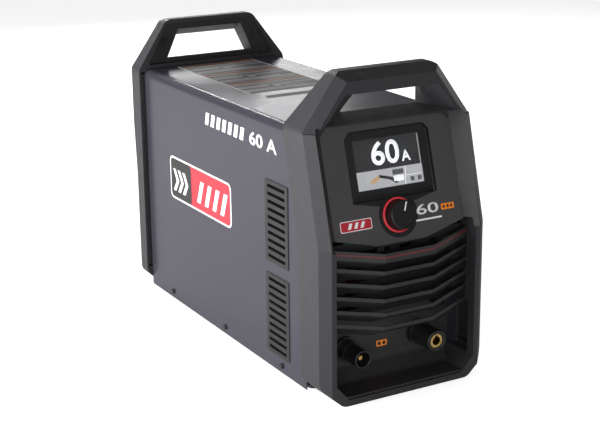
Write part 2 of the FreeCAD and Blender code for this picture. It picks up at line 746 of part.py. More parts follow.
# ---------------------------------------------------------------- grille
def swept_blade(top, section):
    """A straight-sided blade through a kinked path: level in the middle, wings swept back and rising.

    The section's corners are (back, up) from the front top edge; the folds run outwards at 45 degrees.
    """
    half = number("blade_half")
    reach = number(BLADE_END)
    front = number(FRONT)
    sweep_back, rise = number("blade_sweep"), number("blade_rise")

    def station(x_front, fold):
        wire = []
        for back, up in section:
            x = half + back if fold else x_front
            out = max(x - half - back, 0)
            y = front + back + out * sweep_back
            z = top + up + out * rise
            wire.append((x, y, z))
        return wire

    right = [station(half, True), station(reach, False)]
    stations = [[(-x, y, z) for x, y, z in right[1]], [(-x, y, z) for x, y, z in right[0]], right[0], right[1]]
    wires = [Part.makePolygon([FreeCAD.Vector(*p) for p in s + s[:1]]) for s in stations]
    return Part.makeLoft(wires, True, True)


def front_grille():
    face, back, fall = number("blade_face"), number("blade_back"), number("blade_fall")
    thick = number("blade_sheet")
    slope = fall / back

    def hood(height):
        """Front strip with a plate that falls away behind it."""
        return [(0, 0), (0, -height), (back, -height - fall), (back, -height - fall + thick),
                (thick, -height - slope * thick + thick * 1.2), (thick, 0)]

    brow = hood(number("brow_face"))
    notch = [(0, -3.9), (1, -3.9), (1, -7.1), (0, -7.1)]
    brow = brow[:1] + notch + brow[1:]
    top = number(BLADE_TOP)
    shapes = [swept_blade(top - i * number("blade_pitch"), hood(face)) for i in range(int(number("blade_count")))]
    brow_top = top + number("blade_pitch + brow_step")
    shapes.append(swept_blade(brow_top, brow))
    strip = [(0, -4.1), (0.9, -4.1), (0.9, -6.9), (0, -6.9)]
    # end posts tie the blades together
    lowest = top - number("(blade_count - 1) * blade_pitch")
    post_low = lowest + number(WING_LIFT) - face - number("post_foot")
    post_high = number(BAY_TOP) - 2.2
    post_front = number(FRONT) + number(WING_BACK) - 1.2
    wide = number("post_wide")
    for middle in (number(BLADE_END) - number("gap"), number("gap") - number(BLADE_END)):
        shapes.append(Part.makeBox(wide, back + 3, post_high - post_low,
                                   FreeCAD.Vector(middle - wide / 2, post_front, post_low)))
    solid = shapes[0].multiFuse(shapes[1:]).removeSplitter()
    grille = doc.addObject("Part::Feature", "Grille")
    grille.Shape = solid
    node("front_grille", grille)
    accent = doc.addObject("Part::Feature", "Accent")
    keep = Part.makeBox(2 * (number(BAY) - 4), 60, 60, FreeCAD.Vector(4 - number(BAY), number(FRONT) - 2, brow_top - 20))
    accent.Shape = swept_blade(brow_top, strip).common(keep)
    node("grille_accent", accent)


def front_baffle():
    """Dark inner wall behind the blades, with slots for the cooling air."""
    body = new_body("front_baffle")
    low, high = "(bay_panel_top + 4)", "(%s - 6)" % LEAN_Z
    pad(body, "XZ", BAFFLE, BAFFLE + " + baffle_thick", block(BAY + " - gap", low, high))
    slots = []
    for i in range(5):
        level = "(%s + 10 + %d * 19)" % (low, i)
        slots += [rectangle("8", BAY + " - 14", level, level + " + 6"), rectangle("14 - " + BAY, "-8", level, level + " + 6")]
    cut(body, "XZ", BAFFLE + " - 1", BAFFLE + " + baffle_thick + 1", *slots)
    return body


# ---------------------------------------------------------------- connector bay
def connector_panel():
    body = new_body("connector_panel")
    back = "(%s + 3)" % BAY_PANEL
    pad(body, "XZ", RIM + " + 3", back, symmetric([
        (BAY + " - bay_corner - gap", "bay_floor + gap"), (BAY + " - gap", "bay_floor + bay_corner_rise + gap"),
        (BAY + " - gap", "bay_panel_top")]))
    cut(body, "YZ", "-" + SIDE, SIDE, [
        (RIM, "bay_floor + gap + 3"), (BAY_PANEL + " - 22", "bay_floor + gap + 3"), (BAY_PANEL, "bay_floor + 22"),
        (BAY_PANEL, "bay_panel_top + 1"), (RIM, "bay_panel_top + 1")])
    dress(body, "Fillet", "14", lambda p: (near(p.y, number(BAY_PANEL)) and near(p.z, number("bay_floor + 22"))) or
          (near(p.y, number(BAY_PANEL) - 22) and near(p.z, number("bay_floor + gap + 3"))))
    cut(body, "XZ", BAY_PANEL + " - 1", back + " + 1", ("-socket_x", "torch_z", "stem_r + gap"),
        ("socket_x", "work_z", "stem_r + gap"))
    cut(body, "XZ", BAY_PANEL + " - 1", back + " + 1", *mirrored_pair([
        ("74", "bay_panel_top - 6"), (BAY + " - 6", "bay_panel_top - 6"), (BAY + " - 6", "bay_panel_top - 22"),
        (BAY + " - 16", "bay_panel_top - 22")]))
    return body


def torch_socket():
    x, z = "-socket_x", "torch_z"
    front = "(%s - 50)" % BAY_PANEL
    back = "(%s + 3)" % BAY_PANEL
    shell = joined(rod("Y", "torch_r + 5", BAY_PANEL + " - 6", BAY_PANEL, x, z),
                   rod("Y", "torch_r + 1.5", BAY_PANEL + " - 20", BAY_PANEL + " - 6", x, z),
                   rod("Y", "torch_r", front, BAY_PANEL + " - 20", x, z),
                   rod("Y", "stem_r", BAY_PANEL, back + " + 16", x, z))
    bored = without(shell, rod("Y", "torch_bore_r", front + " - 1", front + " + 34", x, z),
                    rod("Y", "3", front + " + 34", back + " + 17", x, z))
    node("torch_socket_body", rounded(bored, "1", lambda p: near(p.y, number(front))))
    pins = [rod("Y", "3", front + " + 8", front + " + 46", x, z)]
    for dx, dz in (("6.4", "0"), ("-3.2", "5.5"), ("-3.2", "-5.5")):
        pins.append(rod("Y", "1.5", front + " + 14", front + " + 34", "%s + %s" % (x, dx), "%s + %s" % (z, dz)))
    node("torch_socket_pins", group(*pins))
    node("torch_socket_nut", without(rod("Y", "stem_r + 5", back, back + " + 6", x, z),
                                     rod("Y", "stem_r + run", back + " - 1", back + " + 7", x, z)))


def work_socket():
    x, z = "socket_x", "work_z"
    front = "(%s - 50)" % BAY_PANEL
    back = "(%s + 3)" % BAY_PANEL
    shell = joined(rod("Y", "work_r + 3", BAY_PANEL + " - 8", BAY_PANEL, x, z),
                   rod("Y", "work_r", front, BAY_PANEL + " - 8", x, z),
                   rod("Y", "stem_r", BAY_PANEL, back + " + 16", x, z))
    bored = without(shell, rod("Y", "work_bore_r + 4", front + " - 1", back + " + 10", x, z),
                    rod("Y", "5", back + " + 9", back + " + 17", x, z))
    node("work_socket_body", rounded(bored, "1.5", lambda p: near(p.y, number(front))))
    brass = without(rod("Y", "work_bore_r + 3.7", front + " + 2", back + " + 10", x, z),
                    rod("Y", "work_bore_r", front + " + 1", back, x, z),
                    box(x + " - 1.8", x + " + 1.8", front + " + 1", front + " + 12", z, z + " + work_bore_r + 2"))
    node("work_socket_contact", brass)
    node("work_socket_nut", without(rod("Y", "stem_r + 5", back, back + " + 6", x, z),
                                    rod("Y", "stem_r + run", back + " - 1", back + " + 7", x, z)))


# ---------------------------------------------------------------- cover and side vents
VENTS = {"left_upper_vent": (-1, "vent_high_z"), "left_lower_vent": (-1, "vent_low_z"),
         "right_upper_vent": (1, "vent_high_z"), "right_lower_vent": (1, "vent_low_z")}
VENT_Y = "(vent_set - depth / 2)"
SCREW_YS = ("(vent_set - 9 - depth / 2)", "0", "(depth / 2 - 128)")


def vent_window(z, spread):
    return rectangle("%s - vent_wide / 2 + (%s)" % (VENT_Y, spread), "%s + vent_wide / 2 - (%s)" % (VENT_Y, spread),
                     "%s - vent_tall / 2 + (%s)" % (z, spread), "%s + vent_tall / 2 - (%s)" % (z, spread))


def wrap_cover():
    """One sheet bent over the chassis; its front edge follows the leaning seam."""
    body = new_body("wrap_cover")
    start = "(%s - tuck)" % SEAM
    pad(body, "XZ", start, COVER_REAR, block(COVER, "cover_low", "shoulder_z"))
    dress(body, "Fillet", "cover_bend", lambda p: near(abs(p.x), number(COVER)) and near(p.z, number("shoulder_z")))
    inner = COVER + " - sheet"
    cut(body, "XZ", start + " - 1", COVER_REAR + " + 1", symmetric([
        (inner, "cover_low - 1"), (inner, "shoulder_z - cover_bend"), (inner + " - 3.1", "shoulder_z - sheet - 3.1"),
        (COVER + " - cover_bend", "shoulder_z - sheet")]))
    cut(body, "YZ", "-" + SIDE, SIDE,
        [(start + " - 1", "shoulder_z - seam_kink"), (SEAM_TOP + " - tuck", STEP_Z), (start + " - 1", STEP_Z)],
        rectangle(start + " - 1", SEAM + " + gap", "0", "corner_rise + 3"),
        rectangle(REAR_LIP + " - gap", COVER_REAR + " + 1", "0", "corner_rise + 6"))
    for z in ("vent_high_z", "vent_low_z"):
        cut(body, "YZ", "-" + SIDE, SIDE, vent_window(z, "vent_rim"))
    cut(body, "YZ", "-" + SIDE, SIDE, *[(y, "screw_z", "2.4") for y in SCREW_YS])
    return body


def side_vent(label, side, z):
    body = new_body(label)
    outer, inner = (COVER + " + 1.2", COVER) if side > 0 else ("-" + COVER, "-%s - 1.2" % COVER)
    deep = (COVER + " - 8", COVER) if side > 0 else ("-" + COVER, "8 - " + COVER)
    pad(body, "YZ", min_text(inner, outer), max_text(inner, outer), vent_window(z, "0"))
    pad(body, "YZ", deep[0], deep[1], vent_window(z, "vent_rim + gap"))
    dress(body, "Fillet", "3", lambda p: near(abs(p.y - number(VENT_Y)), number("vent_wide / 2"))
          and near(abs(p.z - number(z)), number("vent_tall / 2")))
    slots = []
    for i in range(int(number("vent_slots"))):
        level = "%s + (%d - (vent_slots - 1) / 2) * vent_pitch" % (z, i)
        slots.append(rectangle(VENT_Y + " - vent_wide / 2 + 8", VENT_Y + " + vent_wide / 2 - 8",
                               "%s - vent_slot / 2" % level, "%s + vent_slot / 2" % level))
    reach = (COVER + " - 9", COVER + " + 2") if side > 0 else ("-%s - 2" % COVER, "9 - " + COVER)
    cut(body, "YZ", reach[0], reach[1], *slots)
    return body


def min_text(a, b):
    return a if number(a) < number(b) else b


def max_text(a, b):
    return a if number(a) > number(b) else b


def screw_along(axis, face, sense, a, b, head_r, head_t, shank_r, shank_l):
    """Pan head screw whose head sits outside a face; sense is the way its head points."""
    outer = "(%s) + (%s) * %s" % (face, sense, head_t)
    tip = "(%s) - (%s) * %s" % (face, sense, shank_l)
    head = rod(axis, head_r, min_text(face, outer), max_text(face, outer), a, b)
    shank = rod(axis, shank_r, min_text(face, tip), max_text(face, tip), a, b)
    return joined(head, shank)


def fasteners():
    sides = []
    for side in ("1", "-1"):
        for y in SCREW_YS:
            sides.append(screw_along("X", "%s * %s" % (side, COVER), side, y, "screw_z", "4.2", "2.4", "2", "7"))
    node("cover_screws", group(*sides))
    grips = []
    for plate, sense in ((PLATE + " + plate_thick", "1"), (REAR_PLATE, "-1")):
        for side in ("", "-"):
            grips.append(screw_along("Y", plate, sense, side + HANDLE_SCREW_X, HANDLE_SCREW_Z,
                                     "4.5", "2.5", "handle_screw_r - 0.1", "15"))
    node("handle_screws", group(*grips))


# ---------------------------------------------------------------- chassis
def base_pan():
    body = new_body("base_pan")
    wall = "(%s - sheet - gap)" % COVER
    pad(body, "XZ", PAN_FRONT, PAN_REAR, block(wall, "pan_z", "pan_z + pan_flange"))
    cut(body, "XZ", PAN_FRONT + " - 1", PAN_REAR + " + 1", block(wall + " - sheet", "pan_z + sheet", "pan_z + pan_flange + 1"))
    cut(body, "YZ", "-" + SIDE, SIDE, *[(y, "screw_z", "2") for y in SCREW_YS])
    return body


def rubber_feet():
    feet = []
    for x in ("foot_x", "-foot_x"):
        for y in (FOOT_Y, "-" + FOOT_Y):
            feet.append(rod("Z", "foot_r", "0", "pan_z", x, y))
    node("rubber_feet", group(*feet))


def cover_gasket():
    """Foam strip that closes the gap between the cover and the rear moulding."""
    body = new_body("cover_gasket")
    low, high = REAR_LIP + " + 2", REAR_LIP + " + 12"
    pad(body, "XZ", low, high, *mirrored_pair([
        (COVER + " + 0.6", "corner_rise + 12"), (COVER + " + 5.6", "corner_rise + 12"),
        (COVER + " + 5.6", "shoulder_z - 8"), (COVER + " + 0.6", "shoulder_z - 8")]))
    return body


# ---------------------------------------------------------------- rear panel, fan and inlets
SWITCH = ("-62", "150")
GLAND = ("62", "105")
INLET = ("-58", "78")


def rear_panel():
    body = new_body("rear_panel")
    pad(body, "XZ", REAR_PANEL, REAR_PANEL + " + sheet", symmetric([
        (BAY + " - bay_corner - 5", "corner_rise - 16"), (COVER + " - 1", "corner_rise + 6"),
        (COVER + " - 1", "shoulder_z - 8"), (COVER + " - 8", "shoulder_z - 1")]))
    reach = (REAR_PANEL + " - 1", REAR_PANEL + " + sheet + 1")
    cut(body, "XZ", *reach, ("0", "fan_z", "fan_half - 4"))
    spots = [(x, z, "2.2") for x in ("52.5", "-52.5") for z in ("fan_z + 52.5", "fan_z - 52.5")]
    cut(body, "XZ", *reach, *spots)
    x, z = SWITCH
    cut(body, "XZ", *reach, rectangle(x + " - 14.2", x + " + 14.2", z + " - 19.2", z + " + 19.2"))
    cut(body, "XZ", *reach, (GLAND[0], GLAND[1], "12.4"), (INLET[0], INLET[1], "8.3"))
    return body


def cooling_fan():
    low, high = REAR_PANEL + " - fan_depth", REAR_PANEL
    frame = new_body("fan_frame")
    pad(frame, "XZ", low, high, block("fan_half", "fan_z - fan_half", "fan_z + fan_half"))
    dress(frame, "Fillet", "5", lambda p: near(abs(p.x), number("fan_half"))
          and near(abs(p.z - number("fan_z")), number("fan_half")))
    cut(frame, "XZ", low + " - 1", high + " + 1", ("0", "fan_z", "fan_half - 3"))
    spots = [(x, z, "2.2") for x in ("52.5", "-52.5") for z in ("fan_z + 52.5", "fan_z - 52.5")]
    cut(frame, "XZ", low + " - 1", high + " + 1", *spots)
    # motor carrier on three struts at the inner side
    pad(frame, "XZ", low, low + " + 4", ("0", "fan_z", "hub_r + 1"))
    pad(frame, "XZ", low, low + " + 4", block("2", "fan_z - fan_half + 1", "fan_z - hub_r"),
        block("2", "fan_z + hub_r", "fan_z + fan_half - 1"))
    pad(frame, "XZ", low, low + " + 4", rectangle("hub_r", "fan_half - 1", "fan_z - 2", "fan_z + 2"),
        rectangle("1 - fan_half", "-hub_r", "fan_z - 2", "fan_z + 2"))
    pad(frame, "XZ", low + " + 4", low + " + 16", ("0", "fan_z", "3"))

    radius = number("fan_half") - 4.5
    hub = number("hub_r")
    y_low, y_high = number(low) + 5, number(high) - 2
    axis_z = number("fan_z")
    along = FreeCAD.Vector(0, 1, 0)
    swept = Part.makeCylinder(radius, y_high - y_low, FreeCAD.Vector(0, y_low, 0), along)
    solids = [Part.makeCylinder(hub, y_high - y_low, FreeCAD.Vector(0, y_low, axis_z), along)]
    count = 7
    for i in range(count):
        turn = 360.0 * i / count
        wires = []
        for r, pitch in ((hub - 1, 38), (radius, 26)):
            chord = 0.95 * math.tau * r / count
            chord = min(chord, (y_high - y_low - 3) / math.sin(math.radians(pitch)))
            run, rise = chord / 2 * math.cos(math.radians(pitch)), chord / 2 * math.sin(math.radians(pitch))
            mid = (y_low + y_high) / 2
            corners = [FreeCAD.Vector(r, mid - rise - 0.8, -run), FreeCAD.Vector(r, mid - rise + 0.8, -run),
                       FreeCAD.Vector(r, mid + rise + 0.8, run), FreeCAD.Vector(r, mid + rise - 0.8, run)]
            wires.append(Part.makePolygon(corners + corners[:1]))
        blade = Part.makeLoft(wires, True, True).common(swept)
        blade.rotate(FreeCAD.Vector(), along, turn)
        blade.translate(FreeCAD.Vector(0, 0, axis_z))
        solids.append(blade)
    bore = Part.makeCylinder(3 + number("run"), y_high - y_low - 4, FreeCAD.Vector(0, y_low - 1, axis_z), along)
    rotor = doc.addObject("Part::Feature", "Rotor")
    rotor.Shape = solids[0].multiFuse(solids[1:]).cut(bore).removeSplitter()
    node("fan_rotor", rotor)

    start = "(%s + sheet)" % REAR_PANEL
    wires = []
    for r in (16, 26, 36, 46, 54):
        ring = doc.addObject("Part::Torus", "Ring")
        ring.Placement = FreeCAD.Placement(FreeCAD.Vector(), TURNS["Y"])
        ring.Radius1 = r
        ring.Radius2 = 1
        wires.append(put(ring, "0", start + " + 3", "fan_z"))
    for x in ("52.5", "-52.5"):
        for z in ("fan_z + 52.5", "fan_z - 52.5"):
            tab = without(rod("Y", "4.5", start, start + " + 1.5", x, z), rod("Y", "2.2", start + " - 1", start + " + 3", x, z))
            wires.append(tab)
    # corner arms join the tabs to the outer ring
    for turn in (45, 135):
        arm = doc.addObject("Part::Box", "Arm")
        arm.Placement = FreeCAD.Placement(FreeCAD.Vector(), FreeCAD.Rotation(FreeCAD.Vector(0, 1, 0), turn))
        arm.Length = 140.4
        arm.Width = 1.6
        arm.Height = 1.6
        reach = 70.2 * math.cos(math.radians(45))
        across = reach if turn == 135 else -reach
        wires.append(put(arm, "%.4f" % across, start + " + 1.2", "fan_z + %.4f" % reach))
    node("fan_guard", joined(*wires))
    screws = [screw_along("Y", start + " + 1.5", "1", x, z, "3.8", "2.2", "2.1", "22")
              for x in ("52.5", "-52.5") for z in ("fan_z + 52.5", "fan_z - 52.5")]
    node("fan_screws", group(*screws))


def power_switch():
    x, z = SWITCH
    face = "(%s + sheet)" % REAR_PANEL
    bezel = box(x + " - 17", x + " + 17", face, face + " + 2.5", z + " - 22", z + " + 22")
    can = box(x + " - 14", x + " + 14", face + " - 26", face, z + " - 19", z + " + 19")
    well = box(x + " - 11", x + " + 11", face + " - 12", face + " + 3", z + " - 17.4", z + " + 17.4")
    ears = [rod("X", "2", x + " - 12", x + " - 9", face + " - 3", z), rod("X", "2", x + " + 9", x + " + 12", face + " - 3", z)]
    node("power_switch_body", joined(without(joined(bezel, can), well), *ears))
    # the rocker's two faces meet at its pivot; it rests tipped to off
    rocker = new_body("power_switch_rocker")
    y = face + " - 3"
    pad(rocker, "YZ", x + " - 10.6", x + " + 10.6", [
        (y + " - 5", z + " - 8"), (y + " + 1", z + " - 14.6"), (y + " + 4.2", z + " - 14.6"), (y + " + 5.4", z),
        (y + " + 9", z + " + 14.6"), (y + " + 5", z + " + 14.6"), (y + " - 5", z + " + 6")])
    for low, high in ((x + " - 11", x + " - 8.7"), (x + " + 8.7", x + " + 11")):
        cut(rocker, "YZ", low, high, (y, z, "2 + run"))


def cable_gland():
    x, z = GLAND
    face = "(%s + sheet)" % REAR_PANEL
    body = without(joined(rod("Y", "12", face + " - 12", face, x, z), rod("Y", "16", face, face + " + 5", x, z),
                          rod("Y", "12", face + " + 5", face + " + 14", x, z)),
                   rod("Y", "6.5", face + " - 13", face + " + 15", x, z))
    node("cord_gland_body", body)
    cap = without(rod("Y", "15", face + " + 6", face + " + 18", x, z),
                  rod("Y", "12 + run", face + " + 5", face + " + 14", x, z),
                  rod("Y", "6.5", face + " + 13", face + " + 19", x, z))
    node("cord_gland_cap", rounded(cap, "2", lambda p: near(p.y, number(face) + 18)))
    node("cord_gland_nut", without(rod("Y", "16", face + " - sheet - 5", face + " - sheet", x, z),
                                   rod("Y", "12 + run", face + " - sheet - 6", face + " + 1", x, z)))


def air_inlet():
    x, z = INLET
    face = "(%s + sheet)" % REAR_PANEL
    fitting = without(joined(rod("Y", "8", face + " - 14", face, x, z), rod("Y", "11", face, face + " + 6", x, z),
                             rod("Y", "6", face + " + 6", face + " + 16", x, z)),
                      rod("Y", "3", face + " - 15", face + " + 17", x, z))
    node("air_inlet_fitting", fitting)
    node("air_inlet_nut", without(rod("Y", "11", face + " - sheet - 5", face + " - sheet", x, z),
                                  rod("Y", "8 + run", face + " - sheet - 6", face + " + 1", x, z)))


# ---------------------------------------------------------------- power electronics
FLOOR = "(pan_z + sheet)"
PORT_Z = "(pan_z + sheet + 24)"


def heat_sink():
    """Finned block in the wind tunnel; the fins run along the air stream."""
    body = new_body("heat_sink")
    y_low, y_high = "-150", "120"
    pad(body, "XZ", y_low, y_high, rectangle("20", "112", "200", "290"))
    gaps = [rectangle("28", "113", "%d" % (206 + 7 * i), "%d" % (210 + 7 * i)) for i in range(12)]
    cut(body, "XZ", y_low + " - 1", y_high + " + 1", *gaps)
    return body


def power_stage():
    modules = [box("0", "20", "-140 + %d * 62" % i, "-95 + %d * 62" % i, "210", "280") for i in range(4)]
    node("power_modules", group(*modules))
    node("power_board", box("-2", "0", "-150", "120", "150", "340"))
    caps = [rod("X", "16", "-47", "-2", "-110 + %d * 44" % i, z) for i in range(5) for z in ("200", "245")]
    node("bulk_capacitors", group(*caps))
    feet = [box("-8", "6", y, y + " + 16", FLOOR, "150") for y in ("-140", "96")]
    node("board_brackets", group(*feet))
    node("sink_brackets", group(*[box("60", "72", y, y + " + 10", FLOOR, "200") for y in ("-145", "105")]))


def magnetics():
    core = without(box("16", "116", "-70", "30", FLOOR, "120"), box("34", "98", "-71", "31", "36", "96"))
    middle = box("52", "80", "-70", "30", "36", "96")
    node("transformer_core", joined(core, middle))
    winding = without(box("36", "96", "-86", "46", "40", "92"), box("51.6", "80.4", "-70.4", "30.4", "39", "93"))
    node("transformer_winding", rounded(winding, "6", lambda p: near(abs(p.x - 66), 30) and (near(p.y, -86) or near(p.y, 46))))
    ring = doc.addObject("Part::Torus", "Choke")
    ring.Radius1 = 32
    ring.Radius2 = 16
    node("output_choke", put(ring, "66", "105", FLOOR + " + 16"))


def air_system():
    """Solenoid valve on the pan, with a hose from the inlet and a hose to the torch socket."""
    y, z = VALVE_Y, PORT_Z
    low, high = y + " - valve_half", y + " + valve_half"
    block_top = FLOOR + " + 34"
    node("air_valve_body", without(
        joined(box("-78", "-38", low, high, FLOOR, block_top), rod("Y", "5", high, high + " + 10", "-58", z),
               rod("Y", "5", low + " - 10", low, "-58", z)),
        rod("Y", "2.5", low + " - 11", high + " + 11", "-58", z)))
    coil = box("-74", "-42", low + " + 2", high + " - 2", block_top, block_top + " + 42")
    node("air_valve_coil", rounded(coil, "4", lambda p: near(abs(p.x + 58), 16) and near(abs(p.y - number(y)), number("valve_half") - 2)))


def hose(label, radius, *points):
    """A round hose along straight runs whose corners are turned with tangent arcs."""
    path = [FreeCAD.Vector(*[number(c) for c in point]) for point in points]
    edges = []
    start = path[0]
    for before, corner, after in zip(path, path[1:], path[2:]):
        back = before - corner
        ahead = after - corner
        half = back.getAngle(ahead) / 2
        trim = 0.45 * min(back.Length, ahead.Length)
        back.normalize()
        ahead.normalize()
        inward = (back + ahead).normalize()
        bend = trim * math.tan(half)
        entry = corner + back * trim
        leave = corner + ahead * trim
        middle = corner + inward * (bend / math.sin(half) - bend)
        edges += [Part.LineSegment(start, entry).toShape(), Part.Arc(entry, middle, leave).toShape()]
        start = leave
    edges.append(Part.LineSegment(start, path[-1]).toShape())
    ring = Part.Wire(Part.makeCircle(number(radius), path[0], path[1] - path[0]))
    item = doc.addObject("Part::Feature", "Hose")
    item.Shape = Part.Wire(edges).makePipeShell([ring], True, False)
    return node(label, item)


control_panel()
display_window()
display_module()
adjust_knob()
knob_pointer()
halo_ring()
encoder()
control_board()
front_grille()
front_baffle()
connector_panel()
torch_socket()
work_socket()
wrap_cover()
for vent, (vent_side, vent_z) in VENTS.items():
    side_vent(vent, vent_side, vent_z)
fasteners()
base_pan()
rubber_feet()
cover_gasket()
rear_panel()
cooling_fan()
power_switch()
cable_gland()
air_inlet()
heat_sink()
power_stage()
magnetics()
air_system()
hose("inlet_hose", "hose_r", (INLET[0], REAR_PANEL + " + sheet - 14.3", INLET[1]), (INLET[0], REAR_PANEL + " - 48", INLET[1]),
     (INLET[0], VALVE_Y + " + 62", PORT_Z), (INLET[0], VALVE_Y + " + valve_half + 10.3", PORT_Z))
hose("torch_hose", "hose_r", (INLET[0], VALVE_Y + " - valve_half - 10.3", PORT_Z), (INLET[0], VALVE_Y + " - 80", PORT_Z),
     ("-socket_x", BAY_PANEL + " + 70", "torch_z"), ("-socket_x", BAY_PANEL + " + 19.3", "torch_z"))


# ---------------------------------------------------------------- checks and files
doc.recompute()
for item in doc.Objects:
    if "Invalid" in item.State or "Error" in item.State:
        raise RuntimeError("%s (%s) failed: %s" % (item.Label, item.Name, item.State))
os.makedirs("parts", exist_ok=True)
for label, item in NODES.items():
    shape = item.Shape
    if shape.isNull() or not shape.isValid() or not shape.Solids:
        raise RuntimeError("%s has no valid solid" % label)
    shape.exportStep("parts/%s.step" % label)
print("%d sub-parts written" % len(NODES))
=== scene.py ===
# %% [markdown]
# # Plasma cutter power unit
# The imported model gives every hard piece its shape and place. This file gives each piece its finish, adds
# the printed marks that a maker puts on last, and sets up the studio. The box of the model is kept
# straight after loading.

# %% Load the imported model
import bpy
import bmesh
import math
from mathutils import Matrix, Vector


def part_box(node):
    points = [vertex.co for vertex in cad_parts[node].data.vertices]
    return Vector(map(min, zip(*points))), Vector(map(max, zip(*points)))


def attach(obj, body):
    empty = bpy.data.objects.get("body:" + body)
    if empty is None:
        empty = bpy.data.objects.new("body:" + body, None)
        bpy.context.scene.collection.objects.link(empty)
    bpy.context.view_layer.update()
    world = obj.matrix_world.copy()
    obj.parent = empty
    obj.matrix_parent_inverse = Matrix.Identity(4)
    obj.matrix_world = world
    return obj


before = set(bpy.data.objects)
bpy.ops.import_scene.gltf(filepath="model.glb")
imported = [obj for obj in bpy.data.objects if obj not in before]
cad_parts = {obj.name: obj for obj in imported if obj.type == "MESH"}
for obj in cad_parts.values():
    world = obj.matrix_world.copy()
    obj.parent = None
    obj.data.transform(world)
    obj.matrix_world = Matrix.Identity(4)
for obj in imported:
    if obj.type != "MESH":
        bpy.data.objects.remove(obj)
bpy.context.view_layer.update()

# %% [markdown]
# ## Camera
# The unit is looked at from a little above and from its left front corner. A long lens keeps the upright
# edges nearly parallel. The camera could be turned by angles or by a constraint, but giving its right and
# up directions says at once where it looks.

# %% Camera
CAMERA_PLACE = Vector((-1.0227, -1.8252, 0.8059))
CAMERA_RIGHT = Vector((0.8689, -0.4948, -0.0105))
CAMERA_UP = Vector((0.1506, 0.2440, 0.9579))
LENS_MM = 84.0

lens = bpy.data.cameras.new("studio_camera")
lens.lens = LENS_MM
lens.sensor_width = 36.0
lens.clip_start = 0.05
lens.dof.use_dof = False
camera = bpy.data.objects.new("studio_camera", lens)
bpy.context.scene.collection.objects.link(camera)
right = CAMERA_RIGHT.normalized()
up = (CAMERA_UP - right * CAMERA_UP.dot(right)).normalized()
turn = Matrix((right, up, right.cross(up))).transposed().to_4x4()
camera.matrix_world = Matrix.Translation(CAMERA_PLACE) @ turn
bpy.context.scene.camera = camera
print("camera looks along", [round(v, 3) for v in -right.cross(up)])

# %% [markdown]
# ## Floor and light
# The unit stands on a wide pale disc. The paper glows for the camera alone, which keeps it nearly white
# and adds no light of its own from below. Soft lamps stand all round, a little higher than the unit, the
# strongest on the left for the long side and a weak one on the right so that the mouldings keep their
# shape. The room gives little light, so faces that look up stay dark, as satin black plastic does.

# %% Floor
FLOOR_GREY = 0.80
FLOOR_GLOW = 0.72
FLOOR_RADIUS = 14.0


def build_floor():
    """One flat disc, far wider than the view."""
    mesh = bpy.data.meshes.new("studio_floor")
    shape = bmesh.new()
    bmesh.ops.create_circle(shape, cap_ends=True, radius=FLOOR_RADIUS, segments=96)
    shape.to_mesh(mesh)
    shape.free()
    floor = bpy.data.objects.new("studio_floor", mesh)
    bpy.context.scene.collection.objects.link(floor)
    return floor


floor = build_floor()
paper = bpy.data.materials.new("studio_paper")
paper.use_nodes = True
paper_shader = paper.node_tree.nodes["Principled BSDF"]
paper_shader.inputs["Base Color"].default_value = (FLOOR_GREY, FLOOR_GREY, FLOOR_GREY, 1)
paper_shader.inputs["Roughness"].default_value = 0.75
paper_shader.inputs["Emission Color"].default_value = (1, 1, 1, 1)
paper_seen = paper.node_tree.nodes.new("ShaderNodeLightPath")
paper_glow = paper.node_tree.nodes.new("ShaderNodeMath")
paper_glow.operation = "MULTIPLY"
paper_glow.inputs[1].default_value = FLOOR_GLOW
paper.node_tree.links.new(paper_seen.outputs["Is Camera Ray"], paper_glow.inputs[0])
paper.node_tree.links.new(paper_glow.outputs["Value"], paper_shader.inputs["Emission Strength"])
floor.data.materials.append(paper)
print("floor radius", FLOOR_RADIUS, "grey", FLOOR_GREY)

# %% Lights
MIDDLE = (0, 0, 0.22)


def soft_lamp(name, place, target, size, power):
    """A rectangular area lamp that points at a target."""
    data = bpy.data.lights.new(name, "AREA")
    data.shape = "RECTANGLE"
    data.size, data.size_y = size
    data.energy = power
    lamp = bpy.data.objects.new(name, data)
    bpy.context.scene.collection.objects.link(lamp)
    lamp.location = place
    lamp.rotation_euler = (Vector(target) - Vector(place)).to_track_quat("-Z", "Y").to_euler()


soft_lamp("left_softbox", (-3.0, 0.5, 0.8), MIDDLE, (2.6, 1.5), 185)
soft_lamp("front_softbox", (-1.2, -2.8, 0.7), (0, -0.3, 0.2), (2.0, 1.0), 40)
soft_lamp("back_softbox", (0.6, 2.9, 1.1), (0, 0, 0.3), (2.2, 0.8), 15)
soft_lamp("right_softbox", (2.8, 0.9, 1.2), MIDDLE, (1.6, 1.2), 12)

# %% [markdown]
# ## The bright line along the cover's bend
# A bent sheet shows a thin bright line where it turns from side to roof. A long narrow lamp makes it. The
# sight line is mirrored about the normal of one place on the bend, and that gives the only direction from
# which a lamp can make the line there.

# %% Strip lamp and room
WORLD_STRENGTH = 0.13
BEND = Vector((-0.126, 0.0, 0.370))
BEND_ANGLE = math.radians(68)
STRIP_AWAY = 2.6

